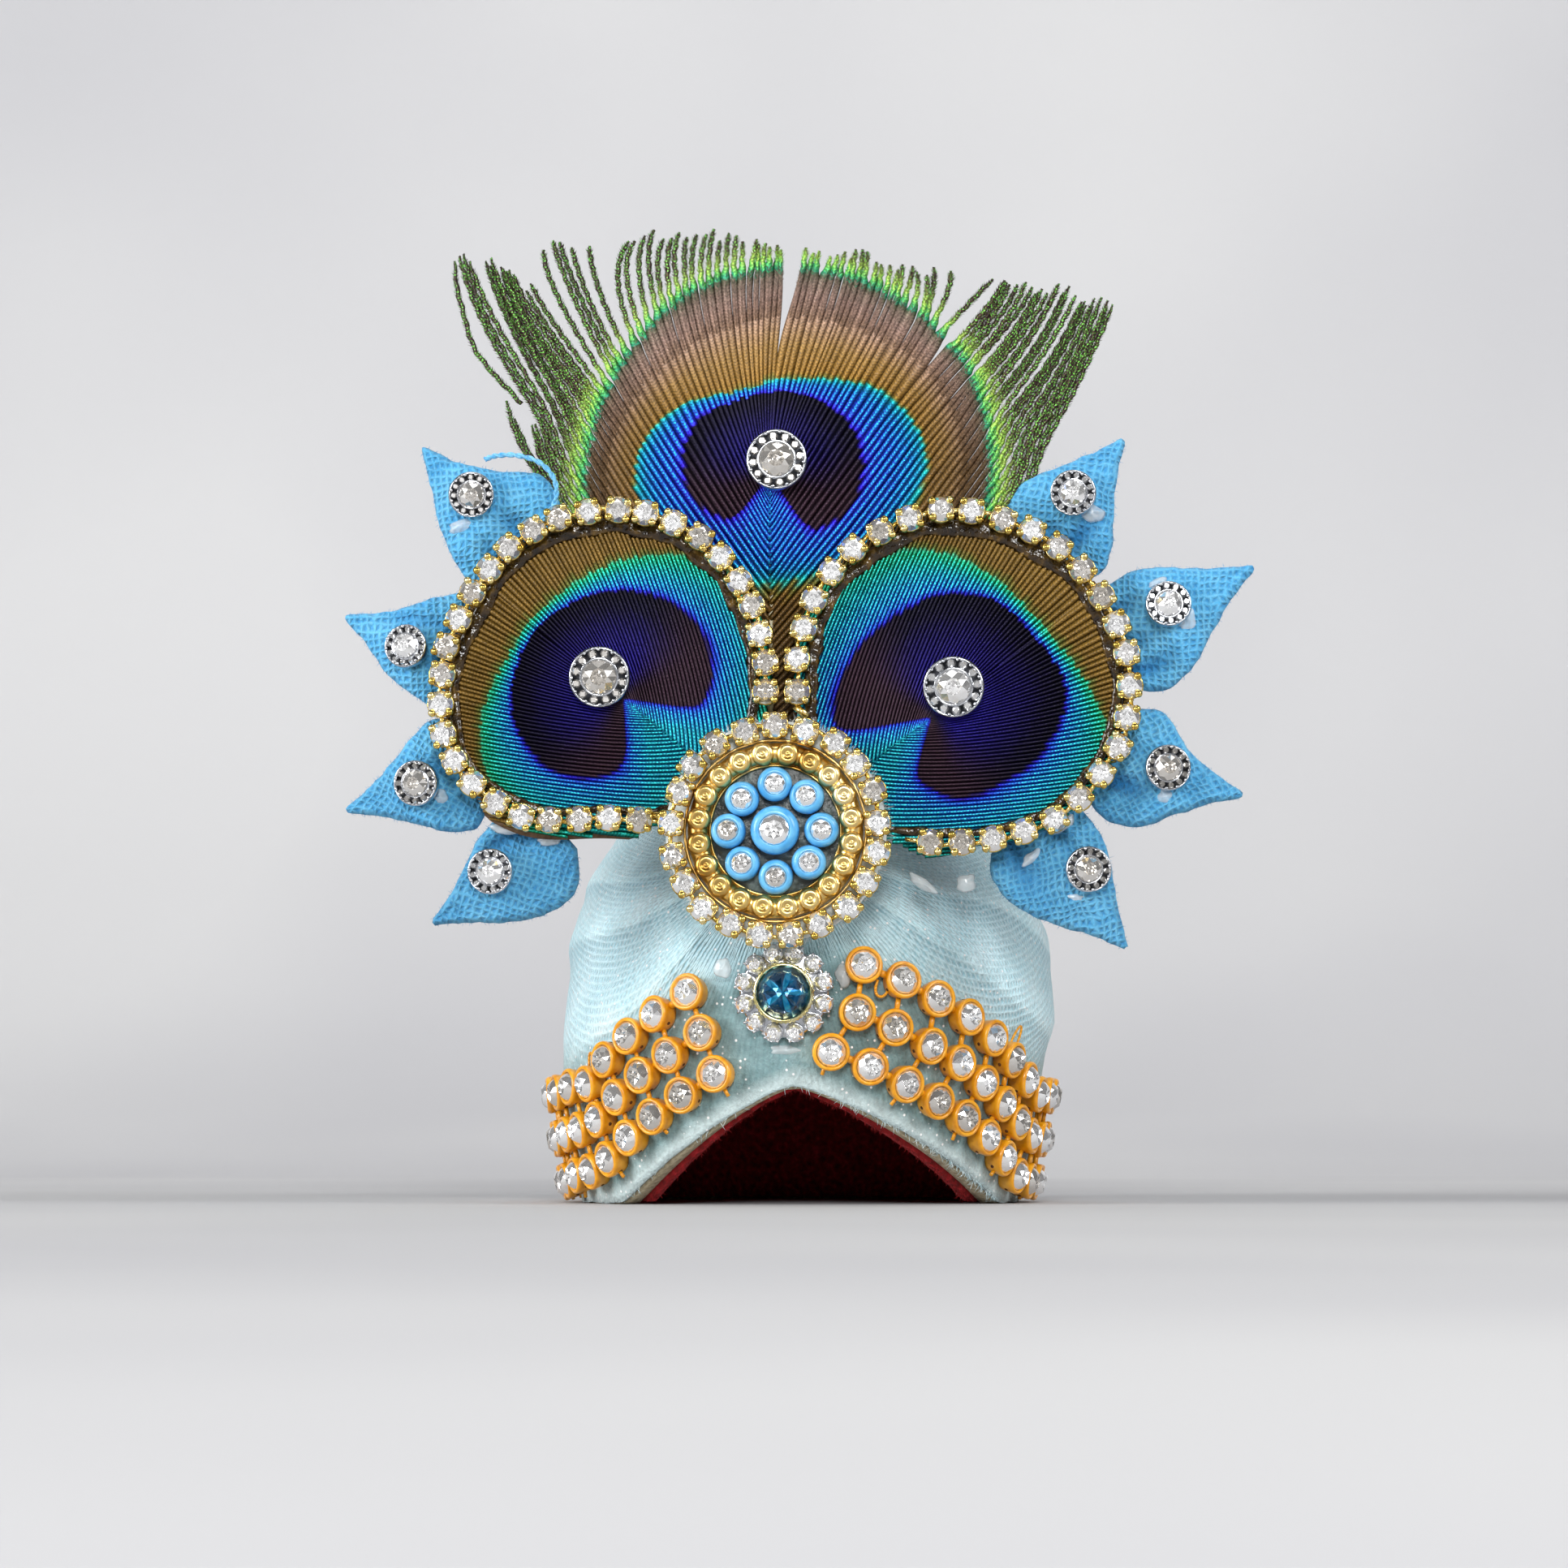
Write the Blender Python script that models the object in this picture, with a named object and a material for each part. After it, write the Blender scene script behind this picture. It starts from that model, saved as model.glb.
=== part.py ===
# Deity crown: a cloth covered cap with a stone band, and a flat feather and petal ornament on its front.
# The crown stands on its rim, up is +Z and the ornament faces -Y. Sizes below are in millimetres.
import math

import bpy
from mathutils import Vector

for old in list(bpy.data.objects):
    bpy.data.objects.remove(old, do_unlink=True)

MM = 0.001
GAP = 0.3

# Cap
CAP_HALF_WIDTH = 23.2
CAP_HALF_DEPTH = 26.5
CAP_WIDEST_Z = 16.0
CAP_TOP_Z = 44.0
CAP_ROUNDNESS = 2.3
CAP_RIM_TUCK = 2.3
CAP_TUCK_POWER = 1.6
SHELL_WALL = 2.0
LINING_WALL = 1.0
LINING_SHOWS = 0.8
ARCH_RISE = 10.8
ARCH_PEAK = 2.0
ARCH_LEFT_ANGLE = 52.0
ARCH_RIGHT_ANGLE = 66.0
ARCH_POWER = 1.25
CAP_LEAN = 0.9
CAP_LEAN_RISE = (8.0, 22.0)
AROUND = 40
OUTER_LOW_ROWS = 3
OUTER_TOP_ROWS = 10
INNER_LOW_ROWS = 2
INNER_TOP_ROWS = 5

# Folds of the cloth wrap: each runs round the side of the cap from the brooch to the back
FOLD_AXIS_Z = 30.0
FOLD_START = (13.8, 18.0)
FOLD_POLE = (5.0, 14.0)
FOLDS = [
    # side, angle in degrees, height, half width in degrees
    (-1, -27.0, 0.75, 7.0),
    (-1, -7.0, 0.80, 8.0),
    (-1, 17.0, 0.65, 9.0),
    (-1, 43.0, 0.60, 9.0),
    (-1, 68.0, 0.50, 8.0),
    (1, -31.0, 0.80, 6.0),
    (1, -12.0, 0.80, 7.0),
    (1, 11.0, 0.70, 8.0),
    (1, 36.0, 0.60, 9.0),
    (1, 62.0, 0.50, 9.0),
]

# Band of stones in plastic cups
CUP_RADIUS = 1.75
CUP_FOOT = 1.5
CUP_HEIGHT = 1.4
CUP_TABLE = 0.95
CUP_TOTAL = 2.0
BAND_TURN = (40.0, 80.0)
CUP_PITCH = 3.8
BAND_ROWS = [
    # name, distance above the rim in front, the same behind, left start x, right start x
    ("band_row_lower", 3.8, 2.2, -6.0, 4.1),
    ("band_row_middle", 7.7, 6.2, -7.2, 6.4),
    ("band_row_upper", 11.6, 10.3, -8.5, 7.0),
]

# Layers of the ornament, as depths in front of the cap's axis
FAN_SETBACK = 0.5
FAN_BACK = CAP_HALF_DEPTH - FAN_SETBACK
FAN_FRONT = FAN_BACK + 1.1
PLATE_BACK = FAN_FRONT + GAP
PLATE_FRONT = PLATE_BACK + 1.0
CHAIN_RADIUS = 1.2
CHAIN_DEPTH = PLATE_FRONT + GAP + CHAIN_RADIUS
BASE_BACK = PLATE_FRONT + GAP
BASE_FRONT = BASE_BACK + 1.1
BROOCH_SEAT = BASE_FRONT + GAP

# Upright feather, as locks about a point low on the centre line
FAN_CENTRE = (-0.15, 29.2)
FAN_STEM = 10.2
FAN_STEM_ANGLE = 27.0
FAN_SHOULDER = 40.0
FAN_SHOULDER_ANGLE = 29.6
FAN_LOCKS = [
    # angle from upright, length, cut depth after it
    (-28.2, 58.0, 6.0),
    (-26.2, 66.2, 7.5),
    (-24.0, 64.8, 9.0),
    (-21.6, 63.8, 8.0),
    (-19.0, 63.2, 4.0),
    (-16.4, 62.2, 5.0),
    (-13.4, 62.0, 3.0),
    (-10.4, 61.4, 3.5),
    (-7.4, 61.0, 2.5),
    (-4.6, 60.6, 3.0),
    (-1.4, 59.3, 11.0),
    (3.0, 58.6, 3.0),
    (6.4, 59.0, 3.5),
    (9.8, 58.3, 3.0),
    (13.0, 58.4, 4.0),
    (16.2, 58.9, 3.0),
    (19.4, 59.5, 3.5),
    (22.4, 60.4, 4.0),
    (25.2, 60.8, 3.0),
    (27.6, 61.3, 4.0),
    (29.6, 61.7, 0.0),
]

# The two trimmed feather eyes: the radius of the chain round each, every 30 degrees from +X
EYE_STEP = 30.0
EYE_SECTORS = 36
EYES = [
    # side, centre x, centre z, first and last chain angle
    ("left", -16.7, 48.1, -6.0, 291.0),
    ("right", 15.6, 47.0, 182.0, -99.0),
]
EYE_RADII = {
    "left": (15.2, 15.4, 15.6, 15.2, 14.55, 13.85, 14.4, 15.2, 14.5, 12.95, 14.6, 15.5),
    "right": (16.0, 15.7, 15.75, 16.0, 15.55, 14.9, 14.2, 15.0, 15.0, 14.15, 14.8, 15.6),
}
CHAIN_STEPS = 16

# Folded petals: base and tip, and the width to each side of that line at five sections
PETAL_SECTIONS = (-0.20, 0.05, 0.30, 0.55, 0.80)
PETAL_FRONT = FAN_FRONT
PETAL_RISE = (0.0, 0.1, 0.75, 0.55, 0.1)
PETAL_THICK = (1.5, 1.5, 1.9, 1.7, 1.3)
PETAL_FOLDS = (0.30, 0.85, 0.55, 1.0, 0.30)
PETAL_TIP_THICK = 0.9
PETALS = [
    # name, base x, z, tip x, z, widths to the left going outward, widths to the right
    ("petal_left_1", -24.4, 59.6, -33.2, 69.4, (4.0, 5.0, 4.7, 3.5, 1.7), (4.2, 6.3, 6.6, 3.6, 1.4)),
    ("petal_left_2", -30.4, 50.7, -40.2, 53.9, (4.2, 5.3, 4.7, 3.5, 1.6), (4.0, 5.4, 4.3, 2.4, 1.1)),
    ("petal_left_3", -30.0, 39.6, -40.0, 36.2, (4.8, 5.5, 4.5, 2.8, 1.3), (4.2, 5.4, 4.3, 2.6, 1.2)),
    ("petal_left_4", -23.0, 33.6, -32.0, 25.9, (5.2, 6.4, 6.2, 4.6, 2.2), (2.9, 3.5, 3.3, 2.1, 0.9)),
    ("petal_right_1", 24.4, 60.3, 30.9, 69.6, (4.4, 5.6, 5.2, 3.4, 1.6), (4.0, 5.3, 4.5, 2.7, 1.2)),
    ("petal_right_2", 31.1, 51.4, 42.6, 57.9, (4.0, 5.0, 5.1, 3.5, 1.6), (4.2, 5.7, 5.3, 3.3, 1.4)),
    ("petal_right_3", 30.0, 39.6, 41.5, 37.3, (4.4, 5.7, 5.9, 3.0, 1.3), (3.6, 4.7, 4.6, 2.9, 1.3)),
    ("petal_right_4", 23.7, 33.6, 30.9, 23.6, (3.4, 4.2, 4.1, 2.8, 1.3), (5.4, 6.2, 5.9, 4.2, 1.9)),
]

# Round studs: a stone in a rim, ten sided
STUD_SIDES = 10
STUD_SEATS = {
    "petal": PETAL_FRONT + max(PETAL_RISE) + GAP,
    "eye": PLATE_FRONT + GAP,
    "fan": FAN_FRONT + GAP,
}
STUDS = [
    # name, x, z, radius, height, what it sits on
    ("petal_stud_left_1", -28.6, 65.0, 2.1, 1.5, "petal"),
    ("petal_stud_left_2", -34.4, 51.0, 2.0, 1.5, "petal"),
    ("petal_stud_left_3", -33.4, 38.5, 2.1, 1.5, "petal"),
    ("petal_stud_left_4", -26.6, 30.4, 2.1, 1.5, "petal"),
    ("petal_stud_right_1", 26.5, 64.7, 2.1, 1.5, "petal"),
    ("petal_stud_right_2", 35.0, 54.4, 2.1, 1.5, "petal"),
    ("petal_stud_right_3", 34.8, 39.6, 2.1, 1.5, "petal"),
    ("petal_stud_right_4", 27.6, 30.4, 2.1, 1.5, "petal"),
    ("eye_stud_left", -16.7, 48.1, 2.8, 1.8, "eye"),
    ("eye_stud_right", 15.6, 47.0, 2.8, 1.8, "eye"),
    ("eye_stud_top", -0.6, 68.0, 2.8, 1.8, "fan"),
]

# Brooch
BROOCH_CENTRE = (-0.55, 33.9)
BROOCH_BASE_RADIUS = 10.0
BROOCH_BASE_SIDES = 20
BROOCH_PAD_CENTRE = (-0.55, 30.4)
BROOCH_PAD_RADIUS = 5.8
BROOCH_PAD_SIDES = 12
BROOCH_PAD_GAP = 0.55
BROOCH_CHAIN_RADIUS = 9.5
BROOCH_CHAIN_STEPS = 20
BEADS = 20
BEAD_RADIUS = 0.9
BEAD_PINCH = 0.45
BEAD_HEIGHT = 1.7
BEAD_RING_RADIUS = BROOCH_CHAIN_RADIUS - CHAIN_RADIUS - 0.4 - BEAD_RADIUS
FLOWER_CUPS = 8
FLOWER_SPREAD = math.sin(math.pi / FLOWER_CUPS)
FLOWER_RADIUS = (BEAD_RING_RADIUS - BEAD_RADIUS - 0.5 * GAP) / (1.0 + FLOWER_SPREAD)
FLOWER_CUP_RADIUS = FLOWER_RADIUS * FLOWER_SPREAD - 0.5 * GAP
FLOWER_HEART_RADIUS = FLOWER_RADIUS - FLOWER_CUP_RADIUS - 2.0 * GAP
FLOWER_HEIGHT = 1.9
FLOWER_HEART_HEIGHT = 2.3

# Pendant
PENDANT_CENTRE = (0.05, 19.3)
PENDANT_LOBES = 12
PENDANT_RADIUS = 4.6
PENDANT_VALLEY = 4.1
PENDANT_COLLAR = 2.7
PENDANT_STONE = 2.35
PENDANT_BACK = CAP_HALF_DEPTH + GAP
PENDANT_PLATE = 1.1
PENDANT_COLLAR_HEIGHT = 1.7
PENDANT_STONE_HEIGHT = 1.2

solids = []


def material(name, color, metallic, roughness):
    made = bpy.data.materials.new(name)
    made.use_nodes = True
    shader = made.node_tree.nodes["Principled BSDF"]
    shader.inputs["Base Color"].default_value = (*color, 1.0)
    shader.inputs["Metallic"].default_value = metallic
    shader.inputs["Roughness"].default_value = roughness
    return made


def solid(name, points, faces, color, metallic=0.0, roughness=0.6):
    """A named mesh object from points in millimetres, with a material of its own."""
    mesh = bpy.data.meshes.new(name)
    mesh.from_pydata([Vector(p) * MM for p in points], [], faces)
    mesh.update()
    thing = bpy.data.objects.new(name, mesh)
    bpy.context.collection.objects.link(thing)
    mesh.materials.append(material(name, color, metallic, roughness))
    solids.append(thing)
    return thing


def smooth(low, high, value):
    t = min(max((value - low) / (high - low), 0.0), 1.0)
    return t * t * (3.0 - 2.0 * t)


def rim_height(azimuth):
    """Height of the rim, which arches over the forehead. Azimuth is in degrees from the front."""
    turn = (azimuth - ARCH_PEAK + 180.0) % 360.0 - 180.0
    turn = turn / ARCH_RIGHT_ANGLE if turn > 0.0 else -turn / ARCH_LEFT_ANGLE
    if turn >= 1.0:
        return 0.0
    return ARCH_RISE * (1.0 - turn**ARCH_POWER) ** ARCH_POWER


def wall_point(azimuth, z, inset):
    """A point of the cap's wall at a height, some way in from its outside."""
    if z <= CAP_WIDEST_Z:
        shrink = 1.0
        tuck = CAP_RIM_TUCK * ((CAP_WIDEST_Z - z) / CAP_WIDEST_Z) ** CAP_TUCK_POWER
    else:
        rise = min((z - CAP_WIDEST_Z) / (CAP_TOP_Z - inset - CAP_WIDEST_Z), 1.0)
        sine = rise ** (CAP_ROUNDNESS / 2.0)
        shrink = math.sqrt(max(1.0 - sine * sine, 0.0)) ** (2.0 / CAP_ROUNDNESS)
        tuck = 0.0
    turn = math.radians(azimuth)
    across = (CAP_HALF_WIDTH - inset) * shrink - tuck
    along = (CAP_HALF_DEPTH - inset) * shrink - tuck
    lean = CAP_LEAN * smooth(*CAP_LEAN_RISE, z)
    return Vector((across * math.sin(turn) + lean, -along * math.cos(turn), z))


def fold_height(point, above_rim):
    """How far the wrap's folds stand out at a point of the cap."""
    angle = math.degrees(math.atan2(point.z - FOLD_AXIS_Z, abs(point.x)))
    fade = smooth(*FOLD_START, above_rim)
    fade *= smooth(*FOLD_POLE, math.hypot(point.x, point.z - FOLD_AXIS_Z))
    height = 0.0
    for side, centre, rise, width in FOLDS:
        share = smooth(-3.0, 3.0, side * point.x)
        height += share * rise * math.exp(-(((angle - centre) / width) ** 2))
    return height * fade


def cap_rings(inset, low_rows, top_rows, rim_drop, folded):
    """Rings of one face of a cap wall from its rim up, and its top point."""
    rings = []
    for row in range(low_rows + top_rows):
        ring = []
        for step in range(AROUND):
            azimuth = 360.0 * step / AROUND
            rim = rim_height(azimuth)
            foot = rim if rim_drop is None else max(rim - rim_drop, GAP)
            if row < low_rows:
                z = foot + (CAP_WIDEST_Z - foot) * row / low_rows
            else:
                rise = math.sin(0.5 * math.pi * (row - low_rows) / top_rows)
                z = CAP_WIDEST_Z + (CAP_TOP_Z - inset - CAP_WIDEST_Z) * rise ** (2.0 / CAP_ROUNDNESS)
            point = wall_point(azimuth, z, inset)
            if folded:
                normal = Vector((point.x, point.y, 1.2 * max(z - CAP_WIDEST_Z, 0.0))).normalized()
                point += normal * fold_height(point, z - rim)
            ring.append(point)
        rings.append(ring)
    return rings, Vector((CAP_LEAN, 0.0, CAP_TOP_Z - inset))


def cap_wall(name, outer, inner, color, roughness):
    """A hollow dome between two sets of rings, open at its rim."""
    points, faces = [], []

    def skin(rings, top, flip):
        starts = []
        for ring in rings:
            starts.append(len(points))
            points.extend(ring)
        points.append(top)
        for low, high in zip(starts, starts[1:]):
            for i in range(AROUND):
                j = (i + 1) % AROUND
                face = (low + i, low + j, high + j, high + i)
                faces.append(face[::-1] if flip else face)
        for i in range(AROUND):
            face = (starts[-1] + i, starts[-1] + (i + 1) % AROUND, len(points) - 1)
            faces.append(face[::-1] if flip else face)
        return starts[0]

    outside = skin(*outer, False)
    inside = skin(*inner, True)
    for i in range(AROUND):
        j = (i + 1) % AROUND
        faces.append((outside + j, outside + i, inside + i, inside + j))
    solid(name, points, faces, color, 0.0, roughness)


cap_wall(
    "cap_shell",
    cap_rings(0.0, OUTER_LOW_ROWS, OUTER_TOP_ROWS, None, True),
    cap_rings(SHELL_WALL, INNER_LOW_ROWS, INNER_TOP_ROWS, None, False),
    (0.42, 0.62, 0.68),
    0.9,
)
cap_wall(
    "cap_lining",
    cap_rings(SHELL_WALL + GAP, INNER_LOW_ROWS, INNER_TOP_ROWS, LINING_SHOWS, False),
    cap_rings(SHELL_WALL + GAP + LINING_WALL, INNER_LOW_ROWS, INNER_TOP_ROWS, LINING_SHOWS, False),
    (0.25, 0.02, 0.03),
    0.95,
)


def row_point(azimuth, heights):
    """A point just off the cap at a distance above its rim, measured square to the rim."""
    step = 0.5
    turn = abs((azimuth + 180.0) % 360.0 - 180.0)
    above = heights[0] + (heights[1] - heights[0]) * smooth(*BAND_TURN, turn)
    across = (wall_point(azimuth + step, 0.0, 0.0) - wall_point(azimuth - step, 0.0, 0.0)).length
    slope = (rim_height(azimuth + step) - rim_height(azimuth - step)) / across
    return wall_point(azimuth, rim_height(azimuth) + above * math.hypot(1.0, slope), -GAP)


def wall_normal(azimuth, z):
    step = 0.5
    around = wall_point(azimuth + step, z, -GAP) - wall_point(azimuth - step, z, -GAP)
    upward = wall_point(azimuth, z + step, -GAP) - wall_point(azimuth, z - step, -GAP)
    return around.cross(upward).normalized()


def azimuth_at(x, heights):
    """The azimuth near the front at which a row passes a given x."""
    low, high = -60.0, 60.0
    for _ in range(40):
        middle = 0.5 * (low + high)
        if row_point(middle, heights).x < x:
            low = middle
        else:
            high = middle
    return 0.5 * (low + high)


def octagon(centre, side, up, radius):
    corners = []
    for k in range(8):
        turn = math.radians(22.5 + 45.0 * k)
        corners.append(centre + (side * math.cos(turn) + up * math.sin(turn)) * radius)
    return corners


def band_row(name, front, behind, left_x, right_x):
    """One string of cups round the cap from the right of the front gap to its left, joined face to face."""
    heights = (front, behind)
    first = azimuth_at(right_x, heights)
    last = azimuth_at(left_x, heights) + 360.0
    fine = 720
    track = [row_point(first + (last - first) * i / fine, heights) for i in range(fine + 1)]
    walked = [0.0]
    for a, b in zip(track, track[1:]):
        walked.append(walked[-1] + (b - a).length)
    count = round(walked[-1] / CUP_PITCH) + 1
    points, faces = [], []
    at = 0
    for cup in range(count):
        goal = walked[-1] * cup / (count - 1)
        while at < fine - 1 and walked[at + 1] < goal:
            at += 1
        share = (goal - walked[at]) / (walked[at + 1] - walked[at])
        azimuth = first + (last - first) * (at + share) / fine
        centre = track[at].lerp(track[at + 1], share)
        normal = wall_normal(azimuth, centre.z)
        side = track[at + 1] - track[at]
        side = (side - normal * side.dot(normal)).normalized()
        up = normal.cross(side)
        start = len(points)
        points += octagon(centre, side, up, CUP_FOOT)
        points += octagon(centre + normal * CUP_HEIGHT, side, up, CUP_RADIUS)
        points += octagon(centre + normal * CUP_TOTAL, side, up, CUP_TABLE)
        faces.append(tuple(start + k for k in range(7, -1, -1)))
        faces.append(tuple(start + 16 + k for k in range(8)))
        for k in range(8):
            j = (k + 1) % 8
            joined_ahead = k == 7 and cup < count - 1
            joined_behind = k == 3 and cup > 0
            if not joined_ahead and not joined_behind:
                faces.append((start + k, start + j, start + 8 + j, start + 8 + k))
            faces.append((start + 8 + k, start + 8 + j, start + 16 + j, start + 16 + k))
        if cup > 0:
            back = start - 24
            near = (back + 7, back + 0, back + 8, back + 15)
            far = (start + 4, start + 3, start + 11, start + 12)
            for k in range(4):
                j = (k + 1) % 4
                faces.append((near[k], near[j], far[j], far[k]))
    solid(name, points, faces, (0.75, 0.36, 0.02), 0.0, 0.35)


for row in BAND_ROWS:
    band_row(*row)


def slab(name, outline, back, front, color, roughness):
    """A flat piece facing the front, from its outline in x and z."""
    count = len(outline)
    points = [(x, -front, z) for x, z in outline] + [(x, -back, z) for x, z in outline]
    faces = [tuple(range(count)), tuple(range(2 * count - 1, count - 1, -1))]
    for i in range(count):
        j = (i + 1) % count
        faces.append((j, i, count + i, count + j))
    solid(name, points, faces, color, 0.0, roughness)


def fan_point(angle, length):
    turn = math.radians(angle)
    return (FAN_CENTRE[0] + length * math.sin(turn), FAN_CENTRE[1] + length * math.cos(turn))


outline = []
for index, (angle, length, cut) in enumerate(FAN_LOCKS):
    following = FAN_LOCKS[min(index + 1, len(FAN_LOCKS) - 1)]
    width = 0.5 * (following[0] - angle)
    outline.append(fan_point(angle + 0.25 * width, length))
    if cut:
        outline.append(fan_point(angle + width, min(length, following[1]) - cut))
outline.append(fan_point(FAN_SHOULDER_ANGLE, FAN_SHOULDER))
outline.append(fan_point(FAN_STEM_ANGLE, FAN_STEM))
outline.append(fan_point(-FAN_STEM_ANGLE, FAN_STEM))
outline.append(fan_point(-FAN_SHOULDER_ANGLE, FAN_SHOULDER))
slab("feather_fan", outline[::-1], FAN_BACK, FAN_FRONT, (0.10, 0.11, 0.05), 0.6)


def eye_radius(side, angle):
    """The radius of an eye at an angle, a smooth curve through its table."""
    radii = EYE_RADII[side]
    place = (angle % 360.0) / EYE_STEP
    i = int(place)
    t = place - i
    a, b, c, d = (radii[(i + k) % len(radii)] for k in (-1, 0, 1, 2))
    return b + 0.5 * t * (c - a + t * (2 * a - 5 * b + 4 * c - d + t * (3 * (b - c) + d - a)))


def eye_point(side, centre_x, centre_z, angle):
    radius = eye_radius(side, angle)
    turn = math.radians(angle)
    return (centre_x + radius * math.cos(turn), centre_z + radius * math.sin(turn))


def tube(name, path, radius, closed, color, metallic, roughness):
    """A round bar along a path, standing for a string of set stones."""
    curve = bpy.data.curves.new(name, "CURVE")
    curve.dimensions = "3D"
    curve.bevel_depth = radius * MM
    curve.bevel_resolution = 2
    curve.use_fill_caps = True
    spline = curve.splines.new("POLY")
    spline.points.add(len(path) - 1)
    for point, place in zip(spline.points, path):
        point.co = (*(Vector(place) * MM), 1.0)
    spline.use_cyclic_u = closed
    thing = bpy.data.objects.new(name, curve)
    bpy.context.collection.objects.link(thing)
    curve.materials.append(material(name, color, metallic, roughness))
    solids.append(thing)


for side, centre_x, centre_z, first, last in EYES:
    outline = []
    for step in range(EYE_SECTORS):
        outline.append(eye_point(side, centre_x, centre_z, 360.0 * step / EYE_SECTORS))
    slab("feather_eye_" + side, outline, PLATE_BACK, PLATE_FRONT, (0.02, 0.05, 0.16), 0.4)
    path = []
    for step in range(CHAIN_STEPS):
        angle = first + (last - first) * step / (CHAIN_STEPS - 1)
        x, z = eye_point(side, centre_x, centre_z, angle)
        path.append((x, -CHAIN_DEPTH, z))
    tube("chain_" + side, path, CHAIN_RADIUS, False, (0.80, 0.66, 0.35), 0.0, 0.2)


def petal(name, base_x, base_z, tip_x, tip_z, left_widths, right_widths):
    """A pointed petal of folded cloth: flat behind, with two raised folds in front."""
    base = Vector((base_x, 0.0, base_z))
    axis = Vector((tip_x - base_x, 0.0, tip_z - base_z))
    left = Vector((-axis.z, 0.0, axis.x)).normalized()
    points, faces = [], []
    lanes = len(PETAL_FOLDS)
    ring = lanes + 3
    for share, left_width, right_width, rise, thick in zip(
        PETAL_SECTIONS, left_widths, right_widths, PETAL_RISE, PETAL_THICK
    ):
        middle = base + axis * share
        for lane, fold in enumerate(PETAL_FOLDS):
            across = 1.0 - 2.0 * lane / (lanes - 1)
            width = left_width if across > 0 else right_width
            depth = PETAL_FRONT + rise - thick * (1.0 - fold) * 0.7
            points.append(middle + left * (across * width) + Vector((0.0, -depth, 0.0)))
        for across in (-0.86, 0.0, 0.86):
            width = left_width if across > 0 else right_width
            depth = PETAL_FRONT + rise - thick
            points.append(middle + left * (across * width) + Vector((0.0, -depth, 0.0)))
    points.append(Vector((tip_x, -(PETAL_FRONT - 0.5 * PETAL_TIP_THICK), tip_z)))
    for row in range(len(PETAL_SECTIONS) - 1):
        for k in range(ring):
            j = (k + 1) % ring
            low, high = row * ring, (row + 1) * ring
            faces.append((low + k, low + j, high + j, high + k))
    last = (len(PETAL_SECTIONS) - 1) * ring
    for k in range(ring):
        faces.append((last + k, last + (k + 1) % ring, len(points) - 1))
    faces.append(tuple(range(ring - 1, -1, -1)))
    solid(name, points, faces, (0.07, 0.40, 0.72), 0.0, 0.85)


for row in PETALS:
    petal(*row)


def stone(name, x, z, radius, height, back, sides, color, foot=0.9, table=0.6, girdle=0.6, metallic=0.0):
    """A cut stone in a rim: straight sides, a ring of sloping facets and a flat table."""
    points, faces = [], []
    for depth, reach in ((back, radius * foot), (back + height * girdle, radius), (back + height, radius * table)):
        for k in range(sides):
            turn = 2.0 * math.pi * (k + 0.5) / sides
            points.append((x + reach * math.cos(turn), -depth, z + reach * math.sin(turn)))
    for row in range(2):
        for k in range(sides):
            j = (k + 1) % sides
            low = row * sides
            faces.append((low + k, low + j, low + sides + j, low + sides + k))
    faces.append(tuple(range(sides - 1, -1, -1)))
    faces.append(tuple(range(2 * sides, 3 * sides)))
    solid(name, points, faces, color, metallic, 0.15)


for name, x, z, radius, height, seat in STUDS:
    stone(name, x, z, radius, height, STUD_SEATS[seat], STUD_SIDES, (0.75, 0.76, 0.78))


def cap_front(x, z):
    """The depth of the cap's outside in front, at a place seen from the front."""
    low, high = -90.0, 90.0
    for _ in range(40):
        middle = 0.5 * (low + high)
        if wall_point(middle, z, 0.0).x < x:
            low = middle
        else:
            high = middle
    return wall_point(low, z, 0.0).y


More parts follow.
